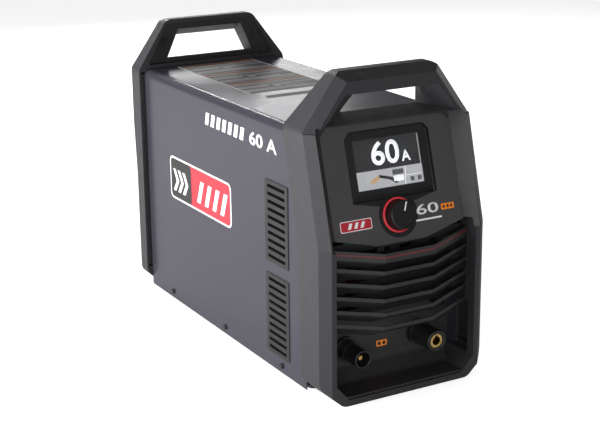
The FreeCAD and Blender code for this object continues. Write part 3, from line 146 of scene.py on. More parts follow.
bend_normal = Vector((-math.cos(BEND_ANGLE), 0, math.sin(BEND_ANGLE)))
sight = (CAMERA_PLACE - BEND).normalized()
strip_place = BEND + STRIP_AWAY * (2 * bend_normal.dot(sight) * bend_normal - sight)
soft_lamp("bend_strip", strip_place, BEND, (0.08, 2.2), 16)
world = bpy.data.worlds.new("studio_world")
world.use_nodes = True
sky = world.node_tree
room = sky.nodes["Background"]
room.inputs["Color"].default_value = (0.97, 0.98, 1.0, 1)
room.inputs["Strength"].default_value = WORLD_STRENGTH
backdrop = sky.nodes.new("ShaderNodeBackground")
backdrop.inputs["Color"].default_value = (1, 1, 1, 1)
seen = sky.nodes.new("ShaderNodeLightPath")
either = sky.nodes.new("ShaderNodeMixShader")
sky.links.new(seen.outputs["Is Camera Ray"], either.inputs["Fac"])
sky.links.new(room.outputs["Background"], either.inputs[1])
sky.links.new(backdrop.outputs["Background"], either.inputs[2])
sky.links.new(either.outputs["Shader"], sky.nodes["World Output"].inputs["Surface"])
bpy.context.scene.world = world
bpy.context.scene.view_settings.view_transform = "Standard"
print("strip lamp at", [round(v, 2) for v in strip_place])

# %% [markdown]
# ## Effects that several finishes share
# Three node groups are built once. Grain is the fine bead texture that is etched into a mould, or the
# orange peel of powder coat. Blotch is the slow change of tone that handling and moulding leave. Dust
# settles on faces that look up. Each gives only values that change over the surface, and the shader stays
# in the material.

# %% Node group helpers
def new_group(name, inputs, outputs):
    group = bpy.data.node_groups.new(name, "ShaderNodeTree")
    for label, kind, value in inputs:
        socket = group.interface.new_socket(name=label, in_out="INPUT", socket_type=kind)
        socket.default_value = value
    for label, kind in outputs:
        group.interface.new_socket(name=label, in_out="OUTPUT", socket_type=kind)
    return group, group.nodes.new("NodeGroupInput"), group.nodes.new("NodeGroupOutput")


def noise_node(tree, vector, scale, detail=2.0, roughness=0.5):
    """A noise texture whose scale is either a number or a socket."""
    noise = tree.nodes.new("ShaderNodeTexNoise")
    noise.inputs["Detail"].default_value = detail
    noise.inputs["Roughness"].default_value = roughness
    tree.links.new(vector, noise.inputs["Vector"])
    if isinstance(scale, (int, float)):
        noise.inputs["Scale"].default_value = scale
    else:
        tree.links.new(scale, noise.inputs["Scale"])
    return noise.outputs["Fac"]


# %% Number helpers
def map_range(tree, value, low, high, to_low, to_high):
    node = tree.nodes.new("ShaderNodeMapRange")
    for label, amount in (("From Min", low), ("From Max", high), ("To Min", to_low), ("To Max", to_high)):
        if isinstance(amount, (int, float)):
            node.inputs[label].default_value = amount
        else:
            tree.links.new(amount, node.inputs[label])
    tree.links.new(value, node.inputs["Value"])
    return node.outputs["Result"]


def calculate(tree, operation, a, b=None):
    node = tree.nodes.new("ShaderNodeMath")
    node.operation = operation
    for socket, value in zip(node.inputs, (a, b)):
        if value is None:
            continue
        if isinstance(value, (int, float)):
            socket.default_value = value
        else:
            tree.links.new(value, socket)
    return node.outputs["Value"]


# %% Grain group
def make_grain():
    """Fine bead texture: a height for bump and a mask of its high spots."""
    group, start, end = new_group("mould_grain",
                                  [("Scale", "NodeSocketFloat", 900.0), ("Coarse", "NodeSocketFloat", 0.3)],
                                  [("Height", "NodeSocketFloat"), ("Peaks", "NodeSocketFloat")])
    place = group.nodes.new("ShaderNodeTexCoord").outputs["Object"]
    bead = group.nodes.new("ShaderNodeTexVoronoi")
    bead.feature = "SMOOTH_F1"
    group.links.new(place, bead.inputs["Vector"])
    group.links.new(start.outputs["Scale"], bead.inputs["Scale"])
    fine = noise_node(group, place, start.outputs["Scale"], 3.0, 0.6)
    slow = noise_node(group, place, calculate(group, "MULTIPLY", start.outputs["Scale"], 0.22), 2.0, 0.5)
    bumps = calculate(group, "ADD", calculate(group, "MULTIPLY", bead.outputs["Distance"], -0.6), fine)
    height = calculate(group, "ADD", bumps, calculate(group, "MULTIPLY", slow, start.outputs["Coarse"]))
    group.links.new(height, end.inputs["Height"])
    group.links.new(map_range(group, fine, 0.45, 0.7, 0.0, 1.0), end.inputs["Peaks"])
    return group


grain_group = make_grain()
print("built", grain_group.name)


# %% Blotch and dust groups
def make_blotch():
    """Slow change of tone: a shade near one and a mask of rubbed patches."""
    group, start, end = new_group("handling_blotch", [("Amount", "NodeSocketFloat", 0.1)],
                                  [("Shade", "NodeSocketFloat"), ("Rubbed", "NodeSocketFloat")])
    place = group.nodes.new("ShaderNodeTexCoord").outputs["Object"]
    broad = noise_node(group, place, 7.0, 3.0, 0.55)
    close = noise_node(group, place, 38.0, 4.0, 0.6)
    broad_share = calculate(group, "MULTIPLY", broad, 0.65)
    mixed = calculate(group, "ADD", broad_share, calculate(group, "MULTIPLY", close, 0.35))
    low = calculate(group, "SUBTRACT", 1.0, start.outputs["Amount"])
    high = calculate(group, "ADD", 1.0, start.outputs["Amount"])
    group.links.new(map_range(group, mixed, 0.35, 0.65, low, high), end.inputs["Shade"])
    group.links.new(map_range(group, close, 0.52, 0.7, 0.0, 1.0), end.inputs["Rubbed"])
    return group


def make_dust():
    """Fine dust on faces that look up, broken up by noise."""
    group, start, end = new_group("settled_dust", [("Amount", "NodeSocketFloat", 0.1)],
                                  [("Mask", "NodeSocketFloat")])
    place = group.nodes.new("ShaderNodeTexCoord").outputs["Object"]
    parts = group.nodes.new("ShaderNodeSeparateXYZ")
    group.links.new(group.nodes.new("ShaderNodeNewGeometry").outputs["Normal"], parts.inputs["Vector"])
    facing = map_range(group, parts.outputs["Z"], 0.35, 1.0, 0.0, 1.0)
    cloud = map_range(group, noise_node(group, place, 60.0, 5.0, 0.65), 0.4, 0.75, 0.0, 1.0)
    mask = calculate(group, "MULTIPLY", calculate(group, "MULTIPLY", facing, cloud), start.outputs["Amount"])
    group.links.new(mask, end.inputs["Mask"])
    return group


blotch_group = make_blotch()
dust_group = make_dust()
print("node groups", [g.name for g in (grain_group, blotch_group, dust_group)])


# %% [markdown]
# ## The common way a finish is put together
# Most finishes here are a base colour whose tone drifts, a roughness that changes where the surface is
# rubbed, a grain in the bump, and a little dust on top. One function builds that, and each finish gives
# its own numbers.

# %% Finish builder
def use_group(tree, group, **values):
    node = tree.nodes.new("ShaderNodeGroup")
    node.node_tree = group
    for label, value in values.items():
        node.inputs[label].default_value = value
    return node


def blend_colour(tree, factor, first, second, mode="MIX"):
    node = tree.nodes.new("ShaderNodeMix")
    node.data_type = "RGBA"
    node.blend_type = mode
    for socket, value in ((node.inputs[0], factor), (node.inputs[6], first), (node.inputs[7], second)):
        if isinstance(value, (int, float)):
            socket.default_value = value
        elif isinstance(value, tuple):
            socket.default_value = (*value, 1) if len(value) == 3 else value
        else:
            tree.links.new(value, socket)
    return node.outputs[2]


DUST_COLOUR = (0.42, 0.40, 0.38)


def finish(name, colour, rough, rough_rubbed, grain=900.0, bump=0.12, depth=0.0002, drift=0.1, dust=0.06,
           metal=0.0, coat=0.0, coat_rough=0.1, coarse=0.3, rubbed_colour=None):
    """A material with drifting tone, etched grain and light dust."""
    material = bpy.data.materials.new(name)
    material.use_nodes = True
    tree = material.node_tree
    shader = tree.nodes["Principled BSDF"]
    shader.inputs["Metallic"].default_value = metal
    shader.inputs["Coat Weight"].default_value = coat
    shader.inputs["Coat Roughness"].default_value = coat_rough
    texture = use_group(tree, grain_group, Scale=grain, Coarse=coarse)
    tone = use_group(tree, blotch_group, Amount=drift)
    fall = use_group(tree, dust_group, Amount=dust)
    shades = tree.nodes.new("ShaderNodeCombineColor")
    for label in ("Red", "Green", "Blue"):
        tree.links.new(tone.outputs["Shade"], shades.inputs[label])
    toned = blend_colour(tree, 1.0, colour, shades.outputs["Color"], "MULTIPLY")
    lighter = rubbed_colour or tuple(min(1.0, c * 1.35 + 0.004) for c in colour)
    peaks = calculate(tree, "MULTIPLY", texture.outputs["Peaks"], 0.45)
    speckled = blend_colour(tree, peaks, toned, lighter)
    dusty = blend_colour(tree, fall.outputs["Mask"], speckled, DUST_COLOUR)
    tree.links.new(dusty, shader.inputs["Base Color"])
    shine = map_range(tree, tone.outputs["Rubbed"], 0.0, 1.0, rough, rough_rubbed)
    tree.links.new(shine, shader.inputs["Roughness"])
    relief = tree.nodes.new("ShaderNodeBump")
    relief.inputs["Strength"].default_value = bump
    relief.inputs["Distance"].default_value = depth
    tree.links.new(texture.outputs["Height"], relief.inputs["Height"])
    tree.links.new(relief.outputs["Normal"], shader.inputs["Normal"])
    return material


def dress(material, *nodes):
    """Give the finish to CAD nodes."""
    for name in nodes:
        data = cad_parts[name].data
        data.materials.clear()
        data.materials.append(material)
    print(material.name, "on", ", ".join(nodes))


# %% [markdown]
# ## Mouldings
# Both end mouldings are glass-filled nylon with a fine etched grain. It is near black with a trace of
# blue, and it picks up broad soft highlights. The control panel is smoother, because it carries a printed
# overlay.

# %% Moulded plastics
moulding = finish("end_moulding_nylon", (0.023, 0.0225, 0.0255), 0.46, 0.40, grain=1100, bump=0.35,
                  depth=0.00025, drift=0.08)
dress(moulding, "front_bezel", "rear_bezel")
dark_moulding = finish("handle_plate_nylon", (0.012, 0.012, 0.013), 0.50, 0.44, grain=1100, bump=0.3,
                       depth=0.0002)
dress(dark_moulding, "front_handle_plate", "rear_handle_plate")
bay_moulding = finish("bay_nylon", (0.024, 0.022, 0.022), 0.45, 0.4, grain=1200, bump=0.3, depth=0.0002,
                      dust=0.03)
dress(bay_moulding, "connector_panel")
vent_moulding = finish("vent_nylon", (0.008, 0.008, 0.009), 0.5, 0.42, grain=1300, bump=0.25, depth=0.0002)
dress(vent_moulding, "left_upper_vent", "left_lower_vent", "right_upper_vent", "right_lower_vent")
socket_nylon = finish("socket_nylon", (0.007, 0.007, 0.0075), 0.38, 0.30, grain=1500, bump=0.15,
                      depth=0.0001, dust=0.02)
dress(socket_nylon, "torch_socket_body", "work_socket_body", "power_switch_body", "cord_gland_body",
      "cord_gland_cap", "cord_gland_nut", "power_modules", "air_valve_coil")
fan_nylon = finish("fan_nylon", (0.02, 0.02, 0.021), 0.45, 0.38, grain=700, bump=0.1, depth=0.0001)
dress(fan_nylon, "fan_frame", "fan_rotor")
panel_overlay = finish("panel_overlay", (0.056, 0.052, 0.055), 0.44, 0.38, grain=1600, bump=0.22,
                       depth=0.00015, drift=0.05, dust=0.0)
dress(panel_overlay, "control_panel")
knob_nylon = finish("knob_nylon", (0.006, 0.006, 0.0065), 0.42, 0.34, grain=1500, bump=0.2, depth=0.0001,
                    dust=0.0)
dress(knob_nylon, "adjust_knob")

# %% [markdown]
# ## Sheet metal
# The cover is powder coated in a dark metallic grey. Metallic powder holds flakes, so its colour sparkles
# very slightly and it has a soft sheen. The pan and rear panel are plain black powder coat.

# %% Coated sheet metal
cover_coat = finish("metallic_powder_coat", (0.036, 0.033, 0.049), 0.27, 0.23, grain=1800, bump=0.16,
                    depth=0.00012, drift=0.05, dust=0.04, metal=0.35, coarse=0.8,
                    rubbed_colour=(0.20, 0.195, 0.21))
dress(cover_coat, "wrap_cover")
black_coat = finish("black_powder_coat", (0.030, 0.030, 0.031), 0.46, 0.4, grain=800, bump=0.25,
                    depth=0.0002, coarse=0.8)
dress(black_coat, "base_pan", "rear_panel")
grille_coat = finish("grille_coat", (0.014, 0.0135, 0.0145), 0.42, 0.35, grain=1300, bump=0.2,
                     depth=0.00015)
dress(grille_coat, "front_grille")
inner_coat = finish("inner_flat_black", (0.010, 0.010, 0.010), 0.7, 0.6, grain=700, bump=0.2, depth=0.0002)
dress(inner_coat, "front_baffle")
soft_rubber = finish("moulded_rubber", (0.014, 0.014, 0.014), 0.72, 0.6, grain=500, bump=0.3,
                     depth=0.0003, dust=0.12)
dress(soft_rubber, "rubber_feet", "cover_gasket")


# %% [markdown]
# ## Bare metals
# Screws are black zinc, the nuts and brackets are bright zinc, and the work socket is turned brass. The
# bright metals have a Metallic of 1, so their colour tints the reflection instead of the body. Black zinc
# has a little less. The heat sink is drawn aluminium.

# %% Metals
bright_zinc = finish("bright_zinc", (0.58, 0.57, 0.54), 0.32, 0.24, grain=500, bump=0.06, depth=0.0001,
                     metal=1.0, drift=0.12)
dress(bright_zinc, "encoder_body", "encoder_nut", "encoder_shaft", "encoder_plunger", "torch_socket_nut",
      "work_socket_nut", "board_brackets", "sink_brackets")
black_zinc = finish("black_zinc", (0.05, 0.05, 0.052), 0.36, 0.28, grain=600, bump=0.08, depth=0.0001,
                    metal=0.8)
dress(black_zinc, "cover_screws", "handle_screws", "fan_screws")
guard_chrome = finish("guard_plating", (0.60, 0.60, 0.62), 0.22, 0.16, grain=400, bump=0.04,
                      depth=0.0001, metal=1.0)
dress(guard_chrome, "fan_guard")
turned_brass = finish("turned_brass", (0.70, 0.47, 0.17), 0.26, 0.18, grain=900, bump=0.08, depth=0.0001,
                      metal=1.0, drift=0.14, dust=0.0)
dress(turned_brass, "work_socket_contact", "torch_socket_pins", "air_inlet_fitting", "air_inlet_nut",
      "air_valve_body")
drawn_aluminium = finish("drawn_aluminium", (0.62, 0.63, 0.65), 0.38, 0.3, grain=300, bump=0.1,
                         depth=0.0001, metal=1.0)
dress(drawn_aluminium, "heat_sink")

# %% [markdown]
# ## Inside pieces
# Little of the inside shows through the slots, but each piece keeps a finish of its own: grey ferrite,
# lacquered copper wire, blue hose, green boards and the shrunk sleeves of the capacitors. They are kept
# dark, the copper and the boards darker than the bare materials: painted shade for the shade inside the
# box, so that the slots read as dark.

# %% Inside finishes
ferrite = finish("sintered_ferrite", (0.045, 0.044, 0.043), 0.6, 0.5, grain=700, bump=0.2, depth=0.0002)
dress(ferrite, "transformer_core")
# The copper colour is darkened as painted shade for the inside of the box.
enamelled_copper_painted_shade = finish("enamelled_copper_painted_shade", (0.20, 0.07, 0.03), 0.34, 0.28, grain=350, bump=0.3,
                          depth=0.0004, metal=0.9)
dress(enamelled_copper_painted_shade, "transformer_winding", "output_choke")
air_hose = finish("blue_air_hose", (0.02, 0.10, 0.42), 0.36, 0.3, grain=300, bump=0.05, depth=0.0001,
                  coat=0.2)
dress(air_hose, "inlet_hose", "torch_hose")
# The board colour is darkened as painted shade for the inside of the box.
board_green_painted_shade = finish("lacquered_board_painted_shade", (0.005, 0.030, 0.016), 0.34, 0.28, grain=260, bump=0.1,
                     depth=0.0002, coat=0.3)
dress(board_green_painted_shade, "control_board", "power_board")
capacitor_sleeve = finish("capacitor_sleeve", (0.02, 0.03, 0.09), 0.3, 0.26, grain=300, bump=0.05,
                          depth=0.0001, coat=0.2)
dress(capacitor_sleeve, "bulk_capacitors")

# %% [markdown]
# ## Gloss plastics
# The strip in the grille's brow is dark red gloss plastic and the rocker of the rear switch is black. A
# weak clear coat gives the gloss over colours that could otherwise look chalky.

# %% Gloss plastics
accent_red = finish("accent_red", (0.10, 0.008, 0.011), 0.36, 0.28, grain=900, bump=0.05, depth=0.0001,
                    drift=0.1, coat=0.3)
dress(accent_red, "grille_accent")
rocker_gloss = finish("rocker_gloss", (0.02, 0.02, 0.02), 0.26, 0.2, grain=900, bump=0.03, depth=0.0001,
                      coat=0.3)
dress(rocker_gloss, "power_switch_rocker")

# %% [markdown]
# ## Inks
# The printed marks share one way of being made: a thin, even, nearly dustless coat with a very fine
# grain. Only the colour, the shine and the drift of tone differ, so one function gives the rest.

# %% Inks
def ink(name, colour, rough, rubbed, drift):
    return finish(name, colour, rough, rubbed, grain=1500, bump=0.04, depth=0.00005, drift=drift, dust=0.0)


ink_white = ink("printed_white", (0.80, 0.80, 0.80), 0.42, 0.36, 0.03)
dress(ink_white, "knob_pointer")
ink_red = ink("printed_red", (0.42, 0.020, 0.035), 0.40, 0.34, 0.06)
# The black ink is print, and it is also painted shade in the rings round the grip screws.
ink_black_and_shade = ink("printed_black_and_painted_shade", (0.012, 0.012, 0.013), 0.40, 0.34, 0.06)
ink_orange = ink("printed_orange", (0.85, 0.23, 0.02), 0.42, 0.36, 0.05)
ink_grey = ink("printed_grey", (0.10, 0.096, 0.10), 0.5, 0.42, 0.08)


# %% [markdown]
# ## Light round the dial
# A ring of clear red plastic carries the light of a few lamps, and it fades over the stretch with no
# lamps. Each point's place across and above the middle of the ring gives how near the lamps it is.

# %% Light ring
LAMPS_ABOVE = 0.62
LAMPS_LEFT = 0.78
FADE_START = -0.018
FADE_END = -0.006
HALO_STRENGTH = 0.48


def make_halo():
    """Lit red guide whose glow fades over the quarter with no lamps."""
    material = finish("halo_light_guide", (0.35, 0.02, 0.028), 0.3, 0.25, grain=1200, bump=0.05, depth=0.0001,
                      drift=0.08, dust=0.0, coat=0.3)
    tree = material.node_tree
    shader = tree.nodes["Principled BSDF"]
    low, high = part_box("halo_ring")
    middle = (low + high) / 2
    spot = tree.nodes.new("ShaderNodeSeparateXYZ")
    tree.links.new(tree.nodes.new("ShaderNodeTexCoord").outputs["Object"], spot.inputs["Vector"])
    across = calculate(tree, "SUBTRACT", spot.outputs["X"], middle.x)
    above = calculate(tree, "SUBTRACT", spot.outputs["Z"], middle.z)
    rise = calculate(tree, "MULTIPLY", above, LAMPS_ABOVE)
    toward = calculate(tree, "SUBTRACT", rise, calculate(tree, "MULTIPLY", across, LAMPS_LEFT))
    glow = map_range(tree, toward, FADE_START, FADE_END, 0.05, 1.0)
    lamps = blend_colour(tree, glow, (0.04, 0.001, 0.001), (0.55, 0.035, 0.05))
    tree.links.new(lamps, shader.inputs["Emission Color"])
    shader.inputs["Emission Strength"].default_value = HALO_STRENGTH
    return material


dress(make_halo(), "halo_ring")

# %% [markdown]
# ## The panel's own plane
# The tub behind the display and the dish round the dial are a deeper black than the overlay. A Mapping
# node turns Object coordinates into the panel's own plane, with the dial at its middle, and a mask
# follows the two outlines.

# %% Panel plane
LEAN = math.radians(16.3)
DIAL = Vector((0.0, -0.2905, 0.254))
PANEL_OUT = Vector((0.0, -math.cos(LEAN), math.sin(LEAN)))
PANEL_UP = Vector((0.0, math.sin(LEAN), math.cos(LEAN)))
TUB_HALF = 0.0687
TUB_LOW = 0.0236
TUB_HIGH = 0.1212
TUB_CORNER_SUM = 0.1808
POINT_SLOPE = 0.216
POINT_LOW = 0.0092
WEDGE_TOP = 0.03
DISH_RADIUS = 0.0312
SOFT_EDGE = 0.00025
TUB_BLACK = (0.006, 0.006, 0.0065)
FAR = 1.0
to_panel = Matrix((Vector((1, 0, 0)), PANEL_UP, PANEL_OUT)).to_4x4() @ Matrix.Translation(-DIAL)


def inside_span(tree, value, low, high):
    """One between two limits, zero outside, with a soft edge half a millimetre wide."""
    rise = map_range(tree, value, low - SOFT_EDGE, low + SOFT_EDGE, 0.0, 1.0)
    fall = map_range(tree, value, high - SOFT_EDGE, high + SOFT_EDGE, 1.0, 0.0)
    return calculate(tree, "MULTIPLY", rise, fall)


def darken_tub(material):
    """Lay black over the tub, the pointed wedge under it and the round dish."""
    tree = material.node_tree
    shader = tree.nodes["Principled BSDF"]
    place = tree.nodes.new("ShaderNodeMapping")
    place.inputs["Location"].default_value = to_panel.to_translation()
    place.inputs["Rotation"].default_value = to_panel.to_euler()
    tree.links.new(tree.nodes.new("ShaderNodeTexCoord").outputs["Object"], place.inputs["Vector"])
    spot = tree.nodes.new("ShaderNodeSeparateXYZ")
    tree.links.new(place.outputs["Vector"], spot.inputs["Vector"])
    side = calculate(tree, "ABSOLUTE", spot.outputs["X"])
    within = inside_span(tree, side, -FAR, TUB_HALF)
    tub = calculate(tree, "MULTIPLY", within, inside_span(tree, spot.outputs["Y"], TUB_LOW, TUB_HIGH))
    corner = calculate(tree, "ADD", side, spot.outputs["Y"])
    tub = calculate(tree, "MULTIPLY", tub, inside_span(tree, corner, -FAR, TUB_CORNER_SUM))
    point = calculate(tree, "SUBTRACT", spot.outputs["Y"], calculate(tree, "MULTIPLY", side, POINT_SLOPE))
    wedge = calculate(tree, "MULTIPLY", inside_span(tree, point, POINT_LOW, FAR), within)
    wedge = calculate(tree, "MULTIPLY", wedge, inside_span(tree, spot.outputs["Y"], 0.0, WEDGE_TOP))
    tub = calculate(tree, "MAXIMUM", tub, wedge)
    flat = tree.nodes.new("ShaderNodeCombineXYZ")
    tree.links.new(spot.outputs["X"], flat.inputs["X"])
    tree.links.new(spot.outputs["Y"], flat.inputs["Y"])
    length = tree.nodes.new("ShaderNodeVectorMath")
    length.operation = "LENGTH"
    tree.links.new(flat.outputs["Vector"], length.inputs[0])
    dish = inside_span(tree, length.outputs["Value"], -FAR, DISH_RADIUS)
    mask = calculate(tree, "MAXIMUM", tub, dish)
    colour = shader.inputs["Base Color"].links[0].from_socket
    tree.links.new(blend_colour(tree, mask, colour, TUB_BLACK), shader.inputs["Base Color"])


darken_tub(panel_overlay)
print("black laid on the tub of", panel_overlay.name)

# %% [markdown]
# ## Display
# The display is a dark screen with a large white reading over a light strip of symbols. The clear window
# in front has a black border printed on it, which hides the edges of the screen behind. A pale lit bar at
# the screen's right edge is a painted highlight, for light caught on the inner edge of the border.

# %% Window and screen
def lit(name, colour, strength):
    """A screen colour that gives its own light, with the faint rows of its dots."""
    material = finish(name, colour, 0.35, 0.3, grain=2200, bump=0.02, depth=0.00002, drift=0.02, dust=0.0)
    tree = material.node_tree
    shader = tree.nodes["Principled BSDF"]
    rows = tree.nodes.new("ShaderNodeTexWave")
    rows.bands_direction = "Z"
    rows.inputs["Scale"].default_value = 900.0
    tree.links.new(tree.nodes.new("ShaderNodeTexCoord").outputs["Object"], rows.inputs["Vector"])
    dimmer = tuple(c * 0.93 for c in colour)
    tree.links.new(blend_colour(tree, rows.outputs["Fac"], dimmer, colour), shader.inputs["Emission Color"])
    shader.inputs["Emission Strength"].default_value = strength
    return material


window_clear = finish("window_acrylic", (0.96, 0.97, 0.98), 0.03, 0.05, grain=120, bump=0.01, depth=0.00002,
                      drift=0.0, dust=0.0)
window_shader = window_clear.node_tree.nodes["Principled BSDF"]
window_shader.inputs["Transmission Weight"].default_value = 1.0
window_shader.inputs["IOR"].default_value = 1.3
dress(window_clear, "display_window")
screen_dark = lit("screen_dark", (0.035, 0.035, 0.036), 0.5)
dress(screen_dark, "display_module")
screen_white = lit("screen_white", (0.92, 0.93, 0.95), 0.75)
screen_pale = lit("screen_pale", (0.52, 0.52, 0.53), 0.4)
screen_mid = lit("screen_mid", (0.11, 0.11, 0.115), 0.4)
screen_amber = lit("screen_amber", (0.62, 0.42, 0.22), 0.4)

# %% [markdown]
# ## Printed marks
# The marks are plain bars and numbers. They could be painted in a material, but as thin plates they stay
# sharp at any size. A few corners are joined to a face, its corners are rounded with a vertex bevel, and
# the face is extruded by the ink's thickness. A placement matrix then lays it on its face of the unit.

# %% Plates on a face
INK = 0.00012
BAY_WALL_Y = -0.250
MM = 1000


def lay_on(origin, across, upward):
    """The matrix that carries a flat drawing onto a face: across, upward and outward."""
    across, upward = Vector(across), Vector(upward)
    turn = Matrix((across, upward, across.cross(upward))).transposed().to_4x4()
    return Matrix.Translation(Vector(origin)) @ turn


cover_low, cover_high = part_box("wrap_cover")
left_side = lay_on((cover_low.x, 0, 0), (0, -1, 0), (0, 0, 1))
right_side = lay_on((cover_high.x, 0, 0), (0, 1, 0), (0, 0, 1))
roof = lay_on((0, 0, cover_high.z), (1, 0, 0), (0, 1, 0))
panel_face = lay_on(DIAL, (1, 0, 0), PANEL_UP)
bay_wall = lay_on((0, BAY_WALL_Y, 0), (1, 0, 0), (0, 0, 1))
print("cover from", tuple(cover_low), "to", tuple(cover_high))


# %% Plate helpers
def finish_piece(shape, name, material, place, body="chassis", slot="white_mark"):
    """Turn a bmesh into a piece on its face, give it its finish and let it ride."""
    bmesh.ops.transform(shape, matrix=place, verts=shape.verts)
    bmesh.ops.recalc_face_normals(shape, faces=shape.faces)
    mesh = bpy.data.meshes.new(name)
    shape.to_mesh(mesh)
    shape.free()
    piece = bpy.data.objects.new(name, mesh)
    bpy.context.scene.collection.objects.link(piece)
    mesh.materials.append(material)
    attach(piece, body)
    return piece


def raised(shape, faces, low, high):
    """Give flat faces a thickness between two heights."""
    thick = bmesh.ops.extrude_face_region(shape, geom=faces)
    top = [v for v in thick["geom"] if isinstance(v, bmesh.types.BMVert)]
    for v in shape.verts:
        v.co.z = low
    for v in top:
        v.co.z = high


def plate(name, corners, material, place, low=0.0, high=INK, round_by=0.0, **ride_on):
    """A thin plate with rounded corners; corners are in millimetres on the face."""
    shape = bmesh.new()
    ring = [shape.verts.new((x / MM, y / MM, 0)) for x, y in corners]
    shape.faces.new(ring)
    if round_by:
        bmesh.ops.bevel(shape, geom=ring, offset=round_by / MM, segments=5, profile=0.5, affect="VERTICES",
                        offset_type="OFFSET", material=-1)
    raised(shape, list(shape.faces), low, high)
    return finish_piece(shape, name, material, place, **ride_on)


# %% Bars and numbers
def bar(x_low, x_high, y_low, y_high, skew=0.0):
    return [(x_low, y_low), (x_high, y_low), (x_high + skew, y_high), (x_low + skew, y_high)]


def lettered(name, words, size, spot, material, place, low=0.0, high=INK, widen=1.0, bold=0.0, **ride_on):
    """Numbers as a thin solid; spot is the lower left corner in millimetres."""
    curve = bpy.data.curves.new(name + "_outline", "FONT")
    curve.body = words
    curve.size = size / MM
    curve.offset = bold / MM
    curve.resolution_u = 4
    outline = bpy.data.objects.new(name + "_outline", curve)
    bpy.context.scene.collection.objects.link(outline)
    drawn = bpy.data.meshes.new_from_object(outline.evaluated_get(bpy.context.evaluated_depsgraph_get()))
    shape = bmesh.new()
    shape.from_mesh(drawn)
    bpy.data.objects.remove(outline)
    bpy.data.meshes.remove(drawn)
    bmesh.ops.remove_doubles(shape, verts=shape.verts, dist=1e-6)
    bmesh.ops.scale(shape, vec=(widen, 1, 1), verts=shape.verts)
    bmesh.ops.translate(shape, vec=(spot[0] / MM, spot[1] / MM, 0), verts=shape.verts)
    raised(shape, list(shape.faces), low, high)
    return finish_piece(shape, name, material, place, **ride_on)


# %% [markdown]
# ## What the display shows
# The screen lies behind the clear window, so its plates are set a few millimetres into the tub. The
# border is printed on the window and is a frame between two outlines, which bridge_loops joins.

# %% Marks on the display
SCREEN = -0.0063
BORDER_LOW = -0.0048
BORDER_HIGH = -0.00468


def frame_plate(name, outer, inner, material, place, low, high):
    """A flat frame between two outlines with the same number of corners."""
    shape = bmesh.new()
    loops = []
    for corners in (outer, inner):
        ring = [shape.verts.new((x / MM, y / MM, 0)) for x, y in corners]
        loops += [shape.edges.new((a, b)) for a, b in zip(ring, ring[1:] + ring[:1])]
    bmesh.ops.bridge_loops(shape, edges=loops)
    raised(shape, list(shape.faces), low, high)
    return finish_piece(shape, name, material, place, slot="display")


frame_plate("window_border",
            [(-66.6, 32.5), (66.6, 32.5), (66.6, 110.5), (66.6, 110.9),
             (58.2, 119.2), (-58.2, 119.2), (-66.6, 110.9), (-66.6, 110.5)],
            [(-54, 39), (54, 39), (54, 107.5), (53, 108.5),
             (52, 108.5), (-52, 108.5), (-53, 108.5), (-54, 107.5)],
            ink_black_and_shade, panel_face, BORDER_LOW, BORDER_HIGH)
for name, corners, material, high in (
        ("screen_strip", bar(-53.5, 53.5, 39.5, 65), screen_pale, 0.00008),
        # The pale lit bar at the screen's right edge is a painted highlight.
        ("painted_screen_glint", bar(51.6, 52.8, 40, 107), screen_pale, 0.00016),
        ("screen_torch_head", [(-34, 50), (-18, 58), (-15, 54), (-28, 46)], screen_amber, 0.00012),
        ("screen_torch_grip", [(-18, 58), (4, 52), (12, 44), (8, 43), (-1, 49), (-18, 54)], screen_dark,
         0.00013),
        ("screen_tag_upper", bar(4, 22, 55, 62), screen_mid, 0.00014),
        ("screen_tag_lower", bar(5, 21, 46, 53), screen_white, 0.00014),
        ("screen_mark_left", bar(32, 38, 43, 49), screen_mid, 0.00014),
        ("screen_mark_right", bar(44, 50, 43, 49), screen_mid, 0.00014),
        ("screen_divider", bar(22.5, 23.3, 39.5, 65, 3), screen_white, 0.00015),
        ("screen_shelf", bar(24.5, 51, 51.6, 52.2), screen_white, 0.00015)):
    plate(name, corners, material, panel_face, SCREEN, SCREEN + high, slot="display")
lettered("screen_reading", "60", 45, (-27, 72), screen_white, panel_face, SCREEN, SCREEN + INK,
         1.05, 0.8, slot="display")
lettered("screen_unit", "A", 21, (23, 72), screen_white, panel_face, SCREEN, SCREEN + INK,
         0.95, 0.4, slot="display")

# %% [markdown]
# ## Marks on the panel and in the bay
# The panel has the rating beside the dial, a small badge and an orange tag, and the bay has a second tag.
# Marks that lie on others are set one ink's thickness higher each, so that no two faces share a plane.

# %% Marks on the panel and bay
lettered("panel_rating", "60", 20, (28.5, -5), ink_white, panel_face, 0.0, INK, 1.95, 0.25)
plate("panel_rule", bar(27, 70, -14, -11.5, 0.6), ink_white, panel_face)
plate("panel_tag", bar(71, 93, -4, 4.5), ink_orange, panel_face, round_by=0.8, slot="accent")
for i, x in enumerate((74, 80.3, 86.6)):
    plate("panel_tag_mark_%d" % i, bar(x, x + 3.4, -1.6, 2.2), ink_black_and_shade, panel_face, INK, 2 * INK,
          slot="panel")
plate("panel_badge", bar(-94, -44, -12, 3), ink_white, panel_face, round_by=2.4)
plate("panel_badge_field", bar(-93, -45, -11, 2), ink_red, panel_face, INK, 2 * INK, round_by=2,
      slot="accent")
for i in range(3):
    x = -83 + 10 * i
    plate("panel_badge_bar_%d" % i, bar(x, x + 5, -8.5, -0.5, 3.5), ink_white, panel_face, 2 * INK, 3 * INK)
plate("bay_tag", bar(-9, 9, 47, 56), ink_orange, bay_wall, round_by=0.8, slot="accent")
plate("bay_tag_mark_left", bar(-6.6, -1.6, 49, 53.8), ink_black_and_shade, bay_wall, INK, 2 * INK, slot="panel")
plate("bay_tag_mark_right", bar(1.6, 6.6, 49, 53.8), ink_black_and_shade, bay_wall, INK, 2 * INK, slot="panel")

# %% [markdown]
# ## Marks on the sides
# Each side has a large badge of chevrons and bars, a row of stripes and the rating. The two sides are not
# mirror images, because both are read from left to right, so each side gives where its badge and its row
# begin.

